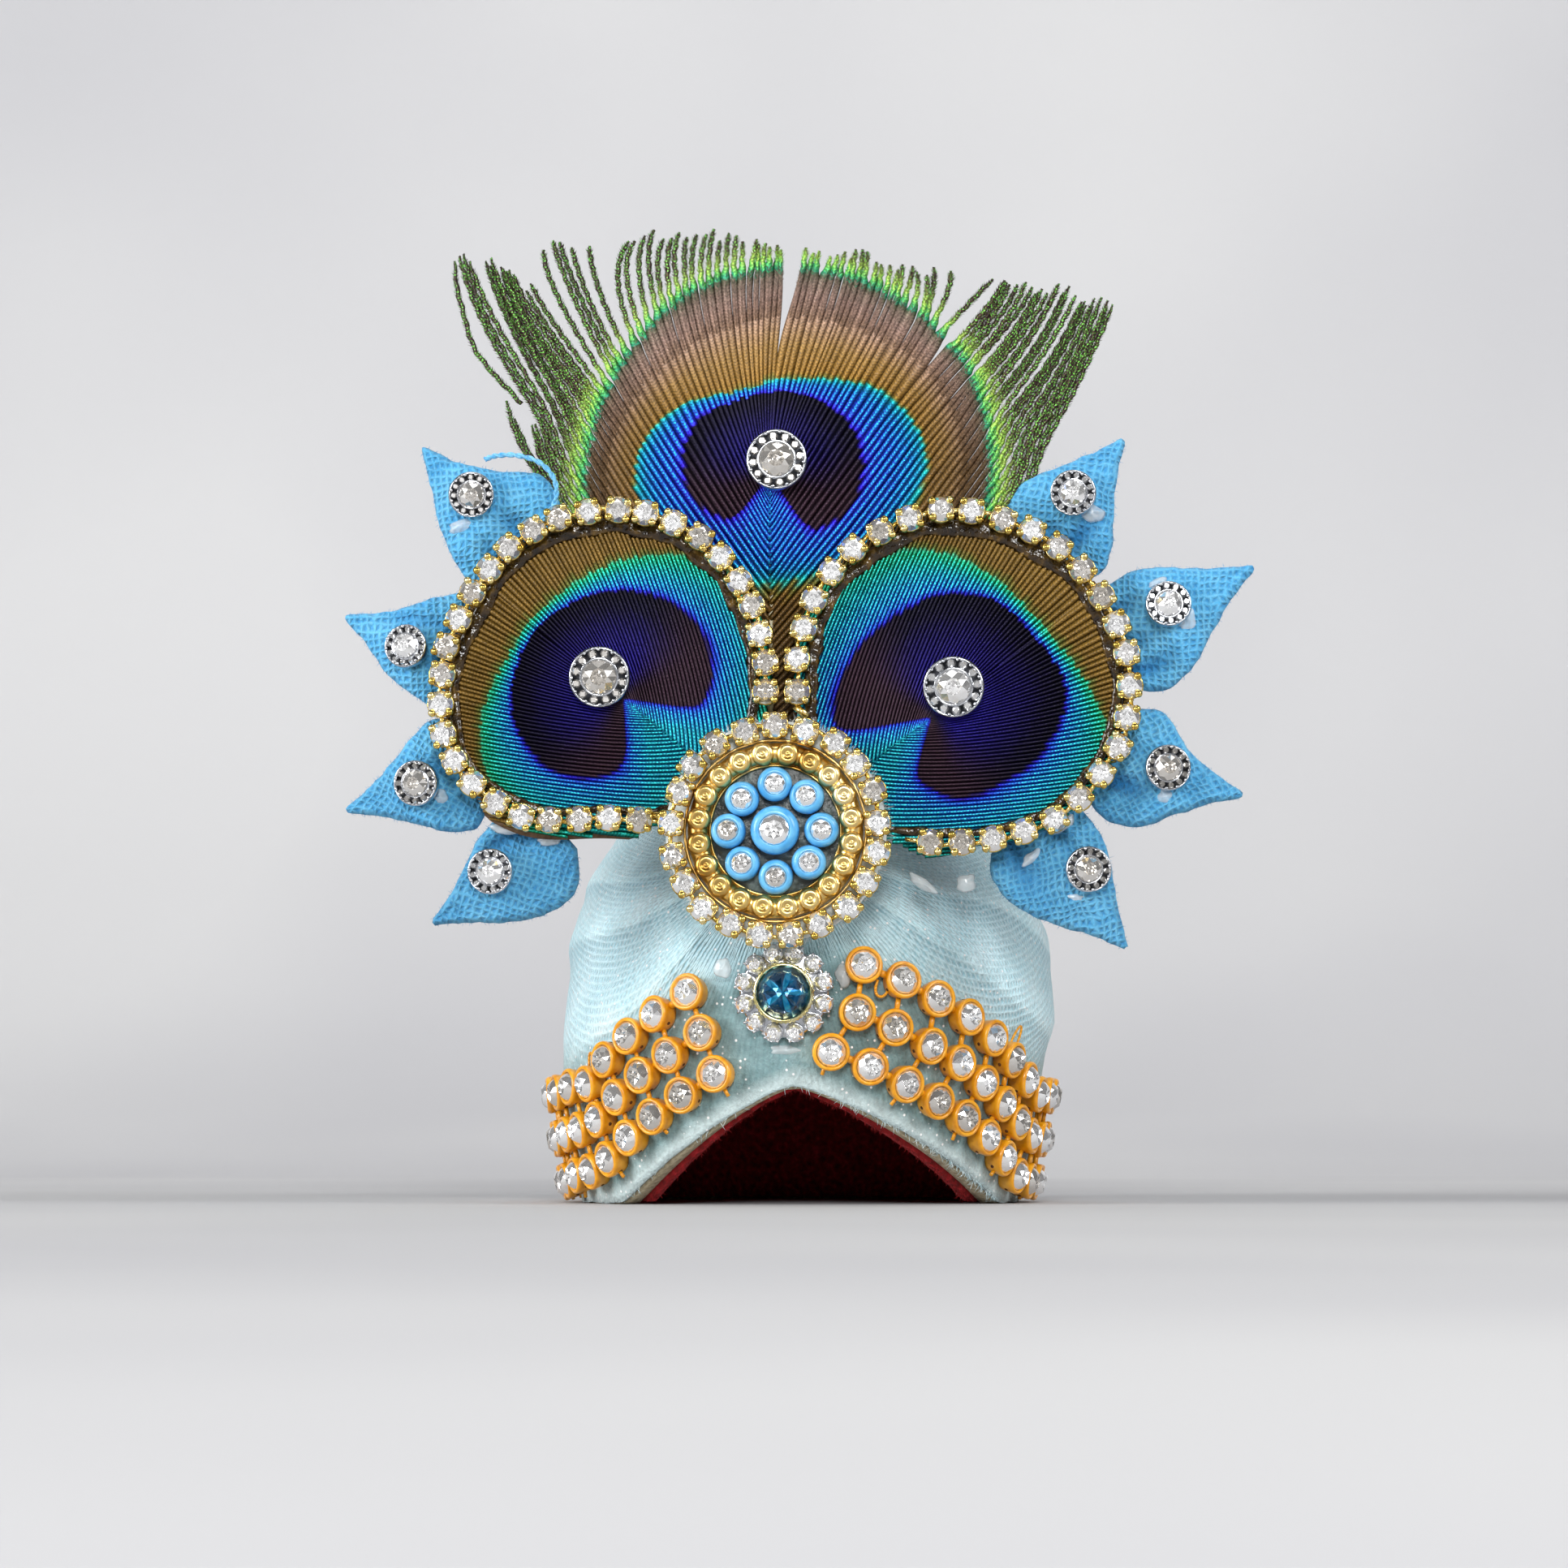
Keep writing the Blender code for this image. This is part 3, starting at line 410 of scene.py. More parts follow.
net_wrap = cap_layer(
    "net_wrap", (0.0, NET_WALL), (18, 62), 256, [net],
    foot_of=net_edge, shape=fold_height, edge_lift=0.1,
)
cap_form = cap_layer("cap_form", (NET_WALL + 0.05, CAP_WALL), (4, 14), 96, [buckram])
cap_lining = cap_layer(
    "lining_felt", (LINING_FROM, LINING_TO), (6, 16), 180, [red_felt], foot_of=lining_foot
)
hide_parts("cap_shell")
# the net is a straight strip, pulled round the form and gathered in front
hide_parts("cap_shell")
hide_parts("cap_lining")


# Loose fibres
# The cut edges of the felt and the net are hairy: short bent fibres, each a thin tapered three sided hair.
LINING_HAIRS = 1500
NET_FRAYS = 900
OFF_THE_FLOOR = 0.05


def fibres(name, roots, material, thickness):
    """Hairs from their roots: each root is a start, a direction with its length, and how far it bends."""
    points, faces = [], []
    for start, way, bend in roots:
        side = way.orthogonal().normalized()
        other = way.cross(side).normalized()
        first = len(points)
        for step, reach in ((0, 1.0), (1, 0.8), (2, 0.6)):
            middle = start + way * (step / 3) + bend * (step / 3) ** 2
            for k in range(3):
                turn = 2.0 * math.pi * k / 3
                out = (side * math.cos(turn) + other * math.sin(turn)) * thickness * reach
                points.append(middle + out)
        points.append(start + way + bend)
        for ring in (0, 3):
            for k in range(3):
                j = (k + 1) % 3
                low, high = first + ring, first + ring + 3
                faces.append((low + k, low + j, high + j, high + k))
        for k in range(3):
            faces.append((first + 6 + k, first + 6 + (k + 1) % 3, first + 9))
        faces.append((first + 2, first + 1, first))
    piece(name, solid(points, faces), [material])


draw = random.Random(11)


def scatter(size):
    """A random short way, within size on each axis."""
    return Vector((draw.uniform(-1, 1), draw.uniform(-1, 1), draw.uniform(-1, 1))) * size


roots = []
for _ in range(LINING_HAIRS):
    azimuth = draw.uniform(-180.0, 180.0)
    inset = draw.uniform(LINING_FROM, LINING_TO)
    start = wall_point(azimuth, lining_foot(azimuth) + 0.05, inset)
    way = (Vector((0.0, 0.0, -1.0)) + scatter(0.9)).normalized() * draw.uniform(0.25, 0.6)
    bend = scatter(0.15)
    if (start + way + bend).z > OFF_THE_FLOOR:
        roots.append((start, way, bend))
fibres("lining_hairs", roots, red_felt, 0.035)
roots = []
for _ in range(NET_FRAYS):
    azimuth = draw.gauss(62.0, 22.0) if draw.random() < 0.6 else draw.uniform(-180.0, 180.0)
    start = wall_point(azimuth, net_edge(azimuth) + 0.1, draw.uniform(0.0, NET_WALL))
    way = (Vector((0.0, 0.0, -0.6)) + scatter(1.0)).normalized() * draw.uniform(0.3, 0.9)
    bend = scatter(0.3)
    if (start + way + bend).z > OFF_THE_FLOOR:
        roots.append((start, way, bend))
frayed_net = grained(
    "nylon_thread_frayed", "#CFE6EA", (1.0,), [(0.3, "#A6CCD4"), (0.7, "#EAF5F6")], roughness=0.5
)
fibres("net_frays", roots, frayed_net, 0.03)

# Band
# Three strings of orange plastic cups round the cap, each cup holding a small foiled glass stone. The cups
# are moulded in strings, with thin runners from one string to the next, and are glued to the felt.
CUP_RADIUS = 1.75
CUP_FOOT = 1.5
CUP_HEIGHT = 1.4
CUP_STONE = 1.34
CUP_SEAT = 0.3
CUP_PITCH = 3.8
BAND_TURN = (40.0, 80.0)
RUNNER_REACH = 5.2
STEP = 0.5
BAND_ROWS = [
    # node, distance above the rim in front, the same behind, left start x, right start x
    ("band_row_lower", 3.8, 2.2, -6.0, 4.1),
    ("band_row_middle", 7.7, 6.2, -7.2, 6.4),
    ("band_row_upper", 11.6, 10.3, -8.5, 7.0),
]


def row_point(azimuth, heights):
    """A point just off the cap at a distance above its rim, measured square to the rim."""
    turn = abs((azimuth + 180.0) % 360.0 - 180.0)
    above = heights[0] + (heights[1] - heights[0]) * smooth(*BAND_TURN, turn)
    across = (wall_point(azimuth + STEP, 0.0, 0.0) - wall_point(azimuth - STEP, 0.0, 0.0)).length
    slope = (rim_height(azimuth + STEP) - rim_height(azimuth - STEP)) / across
    return wall_point(azimuth, rim_height(azimuth) + above * math.hypot(1.0, slope), -CUP_SEAT)


def wall_normal(azimuth, z):
    """The way that is square to the cap's wall."""
    around = wall_point(azimuth + STEP, z, -CUP_SEAT) - wall_point(azimuth - STEP, z, -CUP_SEAT)
    upward = wall_point(azimuth, z + STEP, -CUP_SEAT) - wall_point(azimuth, z - STEP, -CUP_SEAT)
    return around.cross(upward).normalized()


def azimuth_at(x, reach, point_of):
    """The azimuth, within reach of the front, whose point lies at x. It is found by halving."""
    low, high = -reach, reach
    for _ in range(40):
        middle = 0.5 * (low + high)
        if point_of(middle).x < x:
            low = middle
        else:
            high = middle
    return 0.5 * (low + high)


def row_seats(front, behind, left_x, right_x):
    """The seats of one string of cups: for each its centre, its side way, its up way and its normal."""
    heights = (front, behind)
    first = azimuth_at(right_x, 60.0, lambda azimuth: row_point(azimuth, heights))
    last = azimuth_at(left_x, 60.0, lambda azimuth: row_point(azimuth, heights)) + 360.0
    fine = 720
    track = [row_point(first + (last - first) * i / fine, heights) for i in range(fine + 1)]
    walked = [0.0]
    for a, b in zip(track, track[1:]):
        walked.append(walked[-1] + (b - a).length)
    count = round(walked[-1] / CUP_PITCH) + 1
    seats = []
    at = 0
    for cup in range(count):
        goal = walked[-1] * cup / (count - 1)
        while at < fine - 1 and walked[at + 1] < goal:
            at += 1
        share = (goal - walked[at]) / (walked[at + 1] - walked[at])
        azimuth = first + (last - first) * (at + share) / fine
        centre = track[at].lerp(track[at + 1], share)
        normal = wall_normal(azimuth, centre.z)
        side = track[at + 1] - track[at]
        side = (side - normal * side.dot(normal)).normalized()
        seats.append((centre, side, normal.cross(side), normal))
    return seats


def turned_shape(profile, sides, part=0, start=0.0):
    """A shape turned about its own Z from a profile of (radius, height)."""
    points = []
    for radius, height in profile:
        for k in range(sides):
            turn = 2.0 * math.pi * (k + start) / sides
            points.append((radius * math.cos(turn), radius * math.sin(turn), height))
    return solid(points, skin(len(profile), sides), part)


def cut_stone(radius, low, height, part, sides=8, table=0.6, dish=0.45):
    """A cut stone with a flat underside, a crown of facets, and a shallow star in place of its table, which
    stands for the facets of its back seen through it."""
    points, faces = [], []
    rings = [
        (radius * 0.97, low - 0.12 * height, 0.0, 2 * sides), (radius, low, 0.0, 2 * sides),
        (radius * 0.82, low + 0.55 * height, 0.5, sides), (radius * table, low + height, 0.0, sides),
        (radius * table * 0.62, low + height * (1.0 - 0.95 * dish), 0.5, sides),
        (radius * table * 0.34, low + height * (1.0 - 0.35 * dish), 0.0, sides),
    ]
    starts = []
    for reach, z, offset, count in rings:
        starts.append(len(points))
        for k in range(count):
            turn = 2.0 * math.pi * (k + offset) / count
            points.append((reach * math.cos(turn), reach * math.sin(turn), z))
    points.append((0.0, 0.0, low + height * (1.0 - 1.2 * dish)))
    base, girdle, kite, top, star, heart = starts
    double = 2 * sides
    faces.append(tuple(range(double - 1, -1, -1)))
    for k in range(double):
        faces.append((base + k, base + (k + 1) % double, girdle + (k + 1) % double, girdle + k))
    for k in range(sides):
        j = (k + 1) % sides
        i = (k - 1) % sides
        faces.append((girdle + 2 * k, girdle + 2 * k + 1, kite + k))
        faces.append((girdle + 2 * k + 1, girdle + (2 * k + 2) % double, kite + k))
        faces.append((girdle + 2 * k, kite + k, top + k, kite + i))
        faces.append((kite + k, top + j, top + k))
        faces.append((top + k, top + j, star + k))
        faces.append((top + k, star + k, heart + k))
        faces.append((top + k, heart + k, star + i))
        faces.append((star + k, heart + j, heart + k))
        faces.append((heart + k, heart + j, len(points) - 1))
    return solid(points, faces, part, flat=True)


def together(*shapes):
    """Several shapes as one."""
    points, faces, parts, flats = [], [], [], []
    for shape in shapes:
        faces += [tuple(i + len(points) for i in face) for face in shape[1]]
        points += shape[0]
        parts += shape[2]
        flats += shape[3]
    return points, faces, parts, flats


def moved(shape, matrix):
    """A shape at another place."""
    return [tuple(matrix @ Vector(p)) for p in shape[0]], *shape[1:]


def aside(radius, turn, height=0.0):
    """The move to a place at a radius and turn about the shape's own Z."""
    return Matrix.Translation((radius * math.cos(turn), radius * math.sin(turn), height))


def seat_matrix(centre, side, up, normal, spin=0.0, tilt=(0.0, 0.0)):
    """The place of a shape on its seat: its own Z is the seat's normal."""
    turn = Matrix((side, up, normal)).transposed().to_4x4()
    lean = Matrix.Rotation(tilt[0], 4, "X") @ Matrix.Rotation(tilt[1], 4, "Y")
    return Matrix.Translation(centre) @ turn @ (lean @ Matrix.Rotation(spin, 4, "Z"))


def repeated(name, shape, matrices, materials):
    """One mesh of the same shape at many places, with a random tone for each copy."""
    base = np.array(shape[0], float)
    base = np.hstack([base, np.ones((len(base), 1))])
    points = np.vstack([base @ np.array(m).T for m in matrices])[:, :3]
    count = len(base)
    faces = [tuple(i + n * count for i in face) for n in range(len(matrices)) for face in shape[1]]
    many = (points, faces, np.tile(shape[2], len(matrices)), np.tile(shape[3], len(matrices)))
    tones = np.repeat([draw.random() for _ in matrices], count)
    return piece(name, many, materials, fields={"tone": tones})


# Moulded styrene, painted orange: glossy and smooth, darker down inside the cup.
orange = grained(
    "styrene_moulded_orange", "#E69A10", (1.1, 3.0),
    [(0.3, "#D28606"), (0.5, "#E69C12"), (0.72, "#F2AE28")], bump=(0.00004, 0.5), roughness=0.30,
    Coat_Weight=0.2, Coat_Roughness=0.15,
)

# Cut crystal glass, foiled behind: the foil makes each facet a small mirror, bright or dark by its tilt.
crystal, tree, shader = finish_of("crystal_cut_foiled", "#F4F5F6", metallic=0.82, roughness=0.10)
tone = add(tree, "Attribute", out="Fac", attribute_name="tone")
clouded = add(tree, "TexNoise", (in_millimetres(tree), 1.3, 1.0))
mixed = add(tree, "Math", (clouded, tone, tone), operation="MULTIPLY_ADD")
shade = add(tree, "ValToRGB", (mixed,), stops=[(0.2, "#DEDAD4"), (0.6, "#F6F5F4"), (1.0, "#FFFFFF")])
feed(shader.inputs["Base Color"], shade)

# Painted shadow: a dark brown plug in each small hole in a cup's side, for the shade inside the hole.
shadow_hole = grained(
    "cup_hole_painted_shadow", "#5A3206", (3.0,), [(0.3, "#3A1E04"), (0.7, "#6E3E08")], roughness=0.8
)

cup_profile = [
    (CUP_FOOT - 0.10, -0.45), (CUP_FOOT + 0.05, -0.1), (CUP_FOOT + 0.12, 0.25), (CUP_RADIUS - 0.08, 0.75),
    (CUP_RADIUS, 1.05), (CUP_RADIUS - 0.03, 1.28), (CUP_RADIUS - 0.12, CUP_HEIGHT),
    (CUP_RADIUS - 0.24, CUP_HEIGHT + 0.02), (CUP_STONE + 0.08, CUP_HEIGHT - 0.04),
    (CUP_STONE + 0.02, CUP_HEIGHT - 0.16), (CUP_STONE, CUP_HEIGHT - 0.45),
]
cup = turned_shape(cup_profile, 24)
cup = together(cup, cut_stone(CUP_STONE, CUP_HEIGHT - 0.12, 0.62, 1))
upward = Vector((0.0, 0.0, 1.0))
# four small holes in the sides of each cup, filled with painted shadow
for side_way in (1, -1):
    for spread in (0.42, -0.42):
        hole = turned_shape([(0.17, -0.3), (0.17, 0.09)], 10, part=2)
        away = Vector((math.sin(spread), side_way * math.cos(spread), 0.0))
        place = away * (CUP_RADIUS - 0.17) + upward * 0.5
        cup = together(cup, moved(hole, seat_matrix(place, upward.cross(away), upward, away)))

band_seats = {}
for node_name, *line in BAND_ROWS:
    band_seats[node_name] = row_seats(*line)
    matrices = []
    for centre, side, up, normal in band_seats[node_name]:
        tilt = (draw.gauss(0.0, 0.05), draw.gauss(0.0, 0.05))
        matrices.append(seat_matrix(centre, side, up, normal, draw.uniform(-0.4, 0.4), tilt))
    made = repeated(node_name + "_cups", cup, matrices, [orange, crystal, shadow_hole])
    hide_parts(node_name)


def rod(start, end, radius, sides=8):
    """A thin round rod between two points."""
    points = []
    way = (end - start).normalized()
    side = way.orthogonal().normalized()
    other = way.cross(side)
    for middle in (start, end):
        for k in range(sides):
            turn = 2.0 * math.pi * k / sides
            points.append(tuple(middle + (side * math.cos(turn) + other * math.sin(turn)) * radius))
    return solid(points, skin(2, sides))


# runners between the strings, stubs below the lowest one, and the wire loops that the photograph shows
runners = []
rows = [band_seats[name] for name in ("band_row_upper", "band_row_middle", "band_row_lower")]
for upper, lower in zip(rows, rows[1:]):
    for centre, side, up, normal in upper:
        near = min(lower, key=lambda seat: (seat[0] - centre).length)
        if (near[0] - centre).length > RUNNER_REACH:
            continue
        way = (near[0] - centre).normalized()
        lift = (normal + near[3]).normalized() * 0.55
        runners.append(rod(centre + way * 1.3 + lift, near[0] - way * 1.3 + lift, draw.uniform(0.2, 0.27)))
for centre, side, up, normal in rows[2][::2]:
    start = centre - up * 1.4 + normal * 0.5
    stub = min(draw.uniform(0.6, 0.9), start.z - 0.35)
    runners.append(rod(start, start - up * max(stub, 0.1) + side * draw.uniform(-0.3, 0.3), 0.18))
for row in rows:
    for a, b in zip(row, row[1:]):
        way = (b[0] - a[0]).normalized()
        runners.append(rod(a[0] + way * 1.4 + a[3] * 0.6, b[0] - way * 1.4 + b[3] * 0.6, 0.35))


def wire_loop(centre, side, up, normal, width, height, radius):
    """A bent wire loop that stands up from a cup."""
    places = []
    for step in range(11):
        turn = math.pi * step / 10
        place = centre + side * (0.5 * width * math.cos(turn)) + up * (height * math.sin(turn) ** 0.7)
        places.append(place + normal * 0.35)
    return together(
        *[rod(a - (b - a) * 0.1, b + (b - a) * 0.1, radius, 6) for a, b in zip(places, places[1:])]
    )


top_row = rows[0]
for index, reach, width in ((5, 2.9, 1.1), (len(top_row) - 5, 2.2, 1.0)):
    centre, side, up, normal = top_row[index]
    runners.append(wire_loop(centre + up * 0.6, side, up, normal, width, reach, 0.12))
centre, side, up, normal = top_row[1]
runners.append(wire_loop(centre - up * 0.8 - side * 1.5, side, -up, normal, 1.3, 1.3, 0.14))
piece("band_runners", together(*runners), [orange])

# Feathers
# Three eyes of peacock tail feathers: one upright behind everything, its top cut straight, and two trimmed
# to round panels and glued on card. A cream shaft carries barbs on both sides, which fan out at its end,
# and each barb carries fine barbules that hook together, or stand free as fringe beyond the eye.
FAN_DEPTH = 26.55
EYE_CARD_DEPTH = (27.4, 27.95)
EYE_FEATHER_DEPTH = 28.0
EYE_SECTORS = 144
FEATHERS = {
    # shaft end, turn of the shaft to the left in degrees, and about a point 2 mm beyond the shaft's end,
    # every 30 degrees from the shaft's right: the radius of the dark heart, of the blue oval, and of the
    # bronze ground; then the half angles of the notch in the heart, left and right
    "fan": {
        "end": (-1.3, 65.8),
        "turn": 0.0,
        "heart": (8.6, 8.2, 7.4, 6.85, 6.9, 8.0, 8.05, 7.4, 6.3, 6.4, 7.3, 8.35),
        "oval": (14.4, 12.4, 8.8, 7.45, 7.3, 10.0, 12.3, 12.0, 11.2, 10.8, 11.3, 12.8),
        "ground": (20.1, 19.8, 18.8, 18.0, 17.3, 16.4, 16.8, 18.5, 26.0, 34.0, 28.0, 21.0),
        "notch": (38.0, 34.0, 0.9),
    },
    "left": {
        "end": (-14.4, 46.0),
        "turn": 50.0,
        "heart": (9.75, 9.1, 8.6, 8.7, 8.9, 9.35, 9.35, 8.5, 7.2, 7.2, 8.9, 10.0),
        "oval": (14.5, 11.8, 9.7, 9.1, 9.8, 12.4, 14.5, 15.5, 16.0, 16.0, 16.0, 16.0),
        "ground": (24.0,) * 12,
        "notch": (46.0, 31.0, 0.2),
    },
    "right": {
        "end": (13.3, 44.15),
        "turn": -53.0,
        "heart": (8.9, 9.95, 11.1, 10.4, 10.7, 10.1, 9.4, 9.9, 10.4, 8.0, 7.5, 8.5),
        "oval": (16.0, 16.0, 12.9, 11.1, 12.1, 14.2, 15.5, 16.0, 16.0, 16.0, 16.0, 16.0),
        "ground": (26.0,) * 12,
        "notch": (27.0, 37.0, 0.2),
    },
}
FAN_TIPS = {
    # for each side, from the outermost barb that starts in the eye's fan to the middle one, locks of barbs:
    # x of the first and last tip, how many, and the lean of the first and last tip in degrees to the right
    -1: [
        (-22.2, -21.3, 2, 0.0, -8.0), (-20.6, -19.8, 2, -8.0, -4.0), (-17.9, -17.9, 1, 2.0, 4.0),
        (-14.4, -13.7, 2, 30.0, 26.0), (-12.6, -3.7, 13, 26.0, 14.0), (-2.6, -0.1, 6, 3.0, 0.0),
    ],
    1: [
        (19.3, 19.3, 1, 29.0, 27.0), (15.3, 15.3, 1, 5.0, 4.0), (13.9, 13.2, 2, 3.0, 3.0),
        (12.2, 10.4, 4, 3.0, 3.0), (9.6, 4.3, 10, 2.0, 1.0), (3.2, 2.2, 3, -3.0, -3.0),
    ],
}
FAN_GUIDES = {
    # the outermost barb of each side, as places (x, z) from the shaft to its tip
    -1: [
        (-1.3, 38.5), (-11.3, 49.5), (-20.6, 63.6), (-23.2, 71.6), (-25.4, 76.8), (-27.7, 82.6),
        (-29.6, 88.3),
    ],
    1: [(-1.3, 38.5), (10.9, 49.5), (21.0, 63.0), (23.9, 69.4), (26.6, 74.3), (28.7, 78.8), (30.4, 83.0)],
}
FAN_LOCKS = {
    # the barbs between the outermost one and those of the fan, outermost first: x of the first and last tip
    # of a lock, how many, and the share of their length that is left
    -1: [
        (-29.6, -29.0, 3, 0.70), (-30.1, -29.3, 3, 1.0), (-27.9, -27.0, 4, 0.99), (-26.7, -25.3, 6, 0.98),
        (-24.8, -24.2, 2, 0.93),
    ],
    1: [
        (30.4, 28.9, 6, 1.0), (28.3, 27.1, 6, 0.99), (26.3, 25.2, 5, 1.0), (24.5, 23.7, 4, 0.98),
        (22.9, 22.5, 2, 1.0), (21.5, 20.5, 4, 0.99),
    ],
}
FAN_TOP = [
    # x and height of the fan's cut top edge
    (-30.6, 87.0), (-29.6, 88.4), (-27.4, 88.1), (-25.6, 87.5), (-22.2, 88.7), (-17.8, 88.8), (-14.0, 89.5),
    (-9.0, 89.5), (-4.0, 89.5), (-2.2, 88.4), (0.3, 88.2), (2.4, 88.0), (6.7, 87.7), (10.4, 86.4),
    (14.8, 85.9), (18.9, 85.5), (23.0, 85.1), (26.7, 84.0), (30.3, 83.0),
]
EYES = {"left": (-16.7, 48.1), "right": (15.6, 47.0)}
EYE_RADII = {
    # radius of the chain round each eye, every 30 degrees from the right
    "left": (15.2, 15.4, 15.6, 15.2, 14.55, 13.85, 14.4, 15.2, 14.5, 12.95, 14.6, 15.5),
    "right": (16.0, 15.7, 15.75, 16.0, 15.55, 14.9, 14.2, 15.0, 15.0, 14.15, 14.8, 15.6),
}


def curve(a, b, c, d, t):
    """A smooth curve through four values, at a share t of the way from the second to the third."""
    return b + 0.5 * t * (c - a + t * (2 * a - 5 * b + 4 * c - d + t * (3 * (b - c) + d - a)))


def hermite(t):
    """The weights of a start, its slope, an end and its slope, at a share t of the way."""
    return 2 * t**3 - 3 * t**2 + 1, t**3 - 2 * t**2 + t, -2 * t**3 + 3 * t**2, t**3 - t**2


def around(table, angle):
    """A smooth closed curve through a table of radii, every 30 degrees."""
    place = (angle % 360.0) / 30.0
    i = int(place)
    return curve(*(table[(i + k) % len(table)] for k in (-1, 0, 1, 2)), place - i)


def between(table, value, column):
    """A column of a table read at a value of its first column, on straight lines between its rows."""
    rows = sorted(table)
    return float(np.interp(value, [r[0] for r in rows], [r[column] for r in rows]))


def zone_of(feather, u, v):
    """Where a point of a feather's eye lies: 0 to 1 in the dark heart, to 2 in the blue oval, to 3 in the
    bronze ground, and beyond 3 in the fringe. The second number is above 0 in the notch of the heart."""
    radius = math.hypot(u, v - 2.0)
    angle = math.degrees(math.atan2(v - 2.0, u))
    heart, oval, ground = (around(feather[k], angle) for k in ("heart", "oval", "ground"))
    left, right, apex = feather["notch"]
    below = math.degrees(math.atan2(u, apex - v))
    half = right if below > 0.0 else left
    inside = (half - abs(below)) * math.radians(1.0) * math.hypot(u, v - apex)
    if radius < heart:
        zone = radius / heart
    elif radius < oval:
        zone = 1.0 + (radius - heart) / (oval - heart)
    elif radius < ground:
        zone = 2.0 + (radius - oval) / (ground - oval)
    else:
        zone = 3.0 + (radius - ground) / 8.0
    return zone, inside, smooth(60.0, 115.0, abs(below - 180.0 if below > 0 else below + 180.0))


def to_plane(feather, u, v):
    """A feather's own place, right of its shaft and along it, as x and z."""
    turn = math.radians(feather["turn"])
    along = (-math.sin(turn), math.cos(turn))
    return (feather["end"][0] + along[0] * v + along[1] * u, feather["end"][1] + along[1] * v - along[0] * u)


def barb_starts(count, opening, spread, spacing):
    """Where the barbs of one side leave the shaft, lowest first, and their angle there: the last ones share
    the shaft's end and fan out, the others follow one another down it."""
    starts = []
    for k in range(count, 0, -1):
        fan = math.tanh(k / spread)
        starts.append((-spacing * (k - spread * fan), opening * math.tanh((k - 0.5) / spread)))
    return starts


def through(places, step):
    """Places about a step apart on a smooth curve through some places."""
    dense = []
    for i in range(len(places) - 1):
        four = [places[min(max(i + k, 0), len(places) - 1)] for k in (-1, 0, 1, 2)]
        count = max(int(math.dist(four[1], four[2]) / step), 2)
        for k in range(count):
            dense.append(tuple(curve(*values, k / count) for values in zip(*four)))
    return [*dense, tuple(places[-1])]


def resampled(path, count):
    """A path as count + 1 places evenly apart."""
    walked = [0.0]
    for a, b in zip(path, path[1:]):
        walked.append(walked[-1] + math.dist(a, b))
    goals = [walked[-1] * k / count for k in range(count + 1)]
    return list(zip(*(np.interp(goals, walked, values) for values in zip(*path))))


def locks_beside(side, inner):
    """The barbs of one side that leave the shaft below the eye and rise outside it, between the guide and
    the outermost barb of the fan. They lie evenly at first and are drawn together into locks towards their
    tips."""
    end_x, end_z = FEATHERS["fan"]["end"]
    steps = 110
    outer = resampled([(x - end_x, z - end_z) for x, z in through(FAN_GUIDES[side], 0.5)], steps)
    inner = resampled(inner, steps)
    tips = []
    for first, last, count, kept in FAN_LOCKS[side]:
        for k in range(count):
            tip_x = first + (last - first) * k / max(count - 1, 1)
            tips.append((tip_x, kept * (1.0 - draw.uniform(0.0, 0.014))))
    barbs = []
    for index, (tip_x, kept) in enumerate(tips):
        share = index / len(tips)
        even = [(a[0] + (b[0] - a[0]) * share, a[1] + (b[1] - a[1]) * share) for a, b in zip(outer, inner)]
        tip_z = between(FAN_TOP, tip_x, 1) + draw.uniform(-0.6, 0.3)
        shift = (tip_x - end_x - even[-1][0], tip_z - end_z - even[-1][1])
        wave, swing = draw.uniform(0.0, 6.0), draw.uniform(0.10, 0.28)
        barb = []
        for k, (u, v) in enumerate(even):
            t = k / steps
            free = smooth(0.52, 1.0, t)
            u += shift[0] * free + swing * math.sin(9.0 * t + wave) * smooth(0.5, 0.8, t)
            v += shift[1] * free
            if t <= kept:
                barb.append((u, v))
        barbs.append(barb)
    return barbs


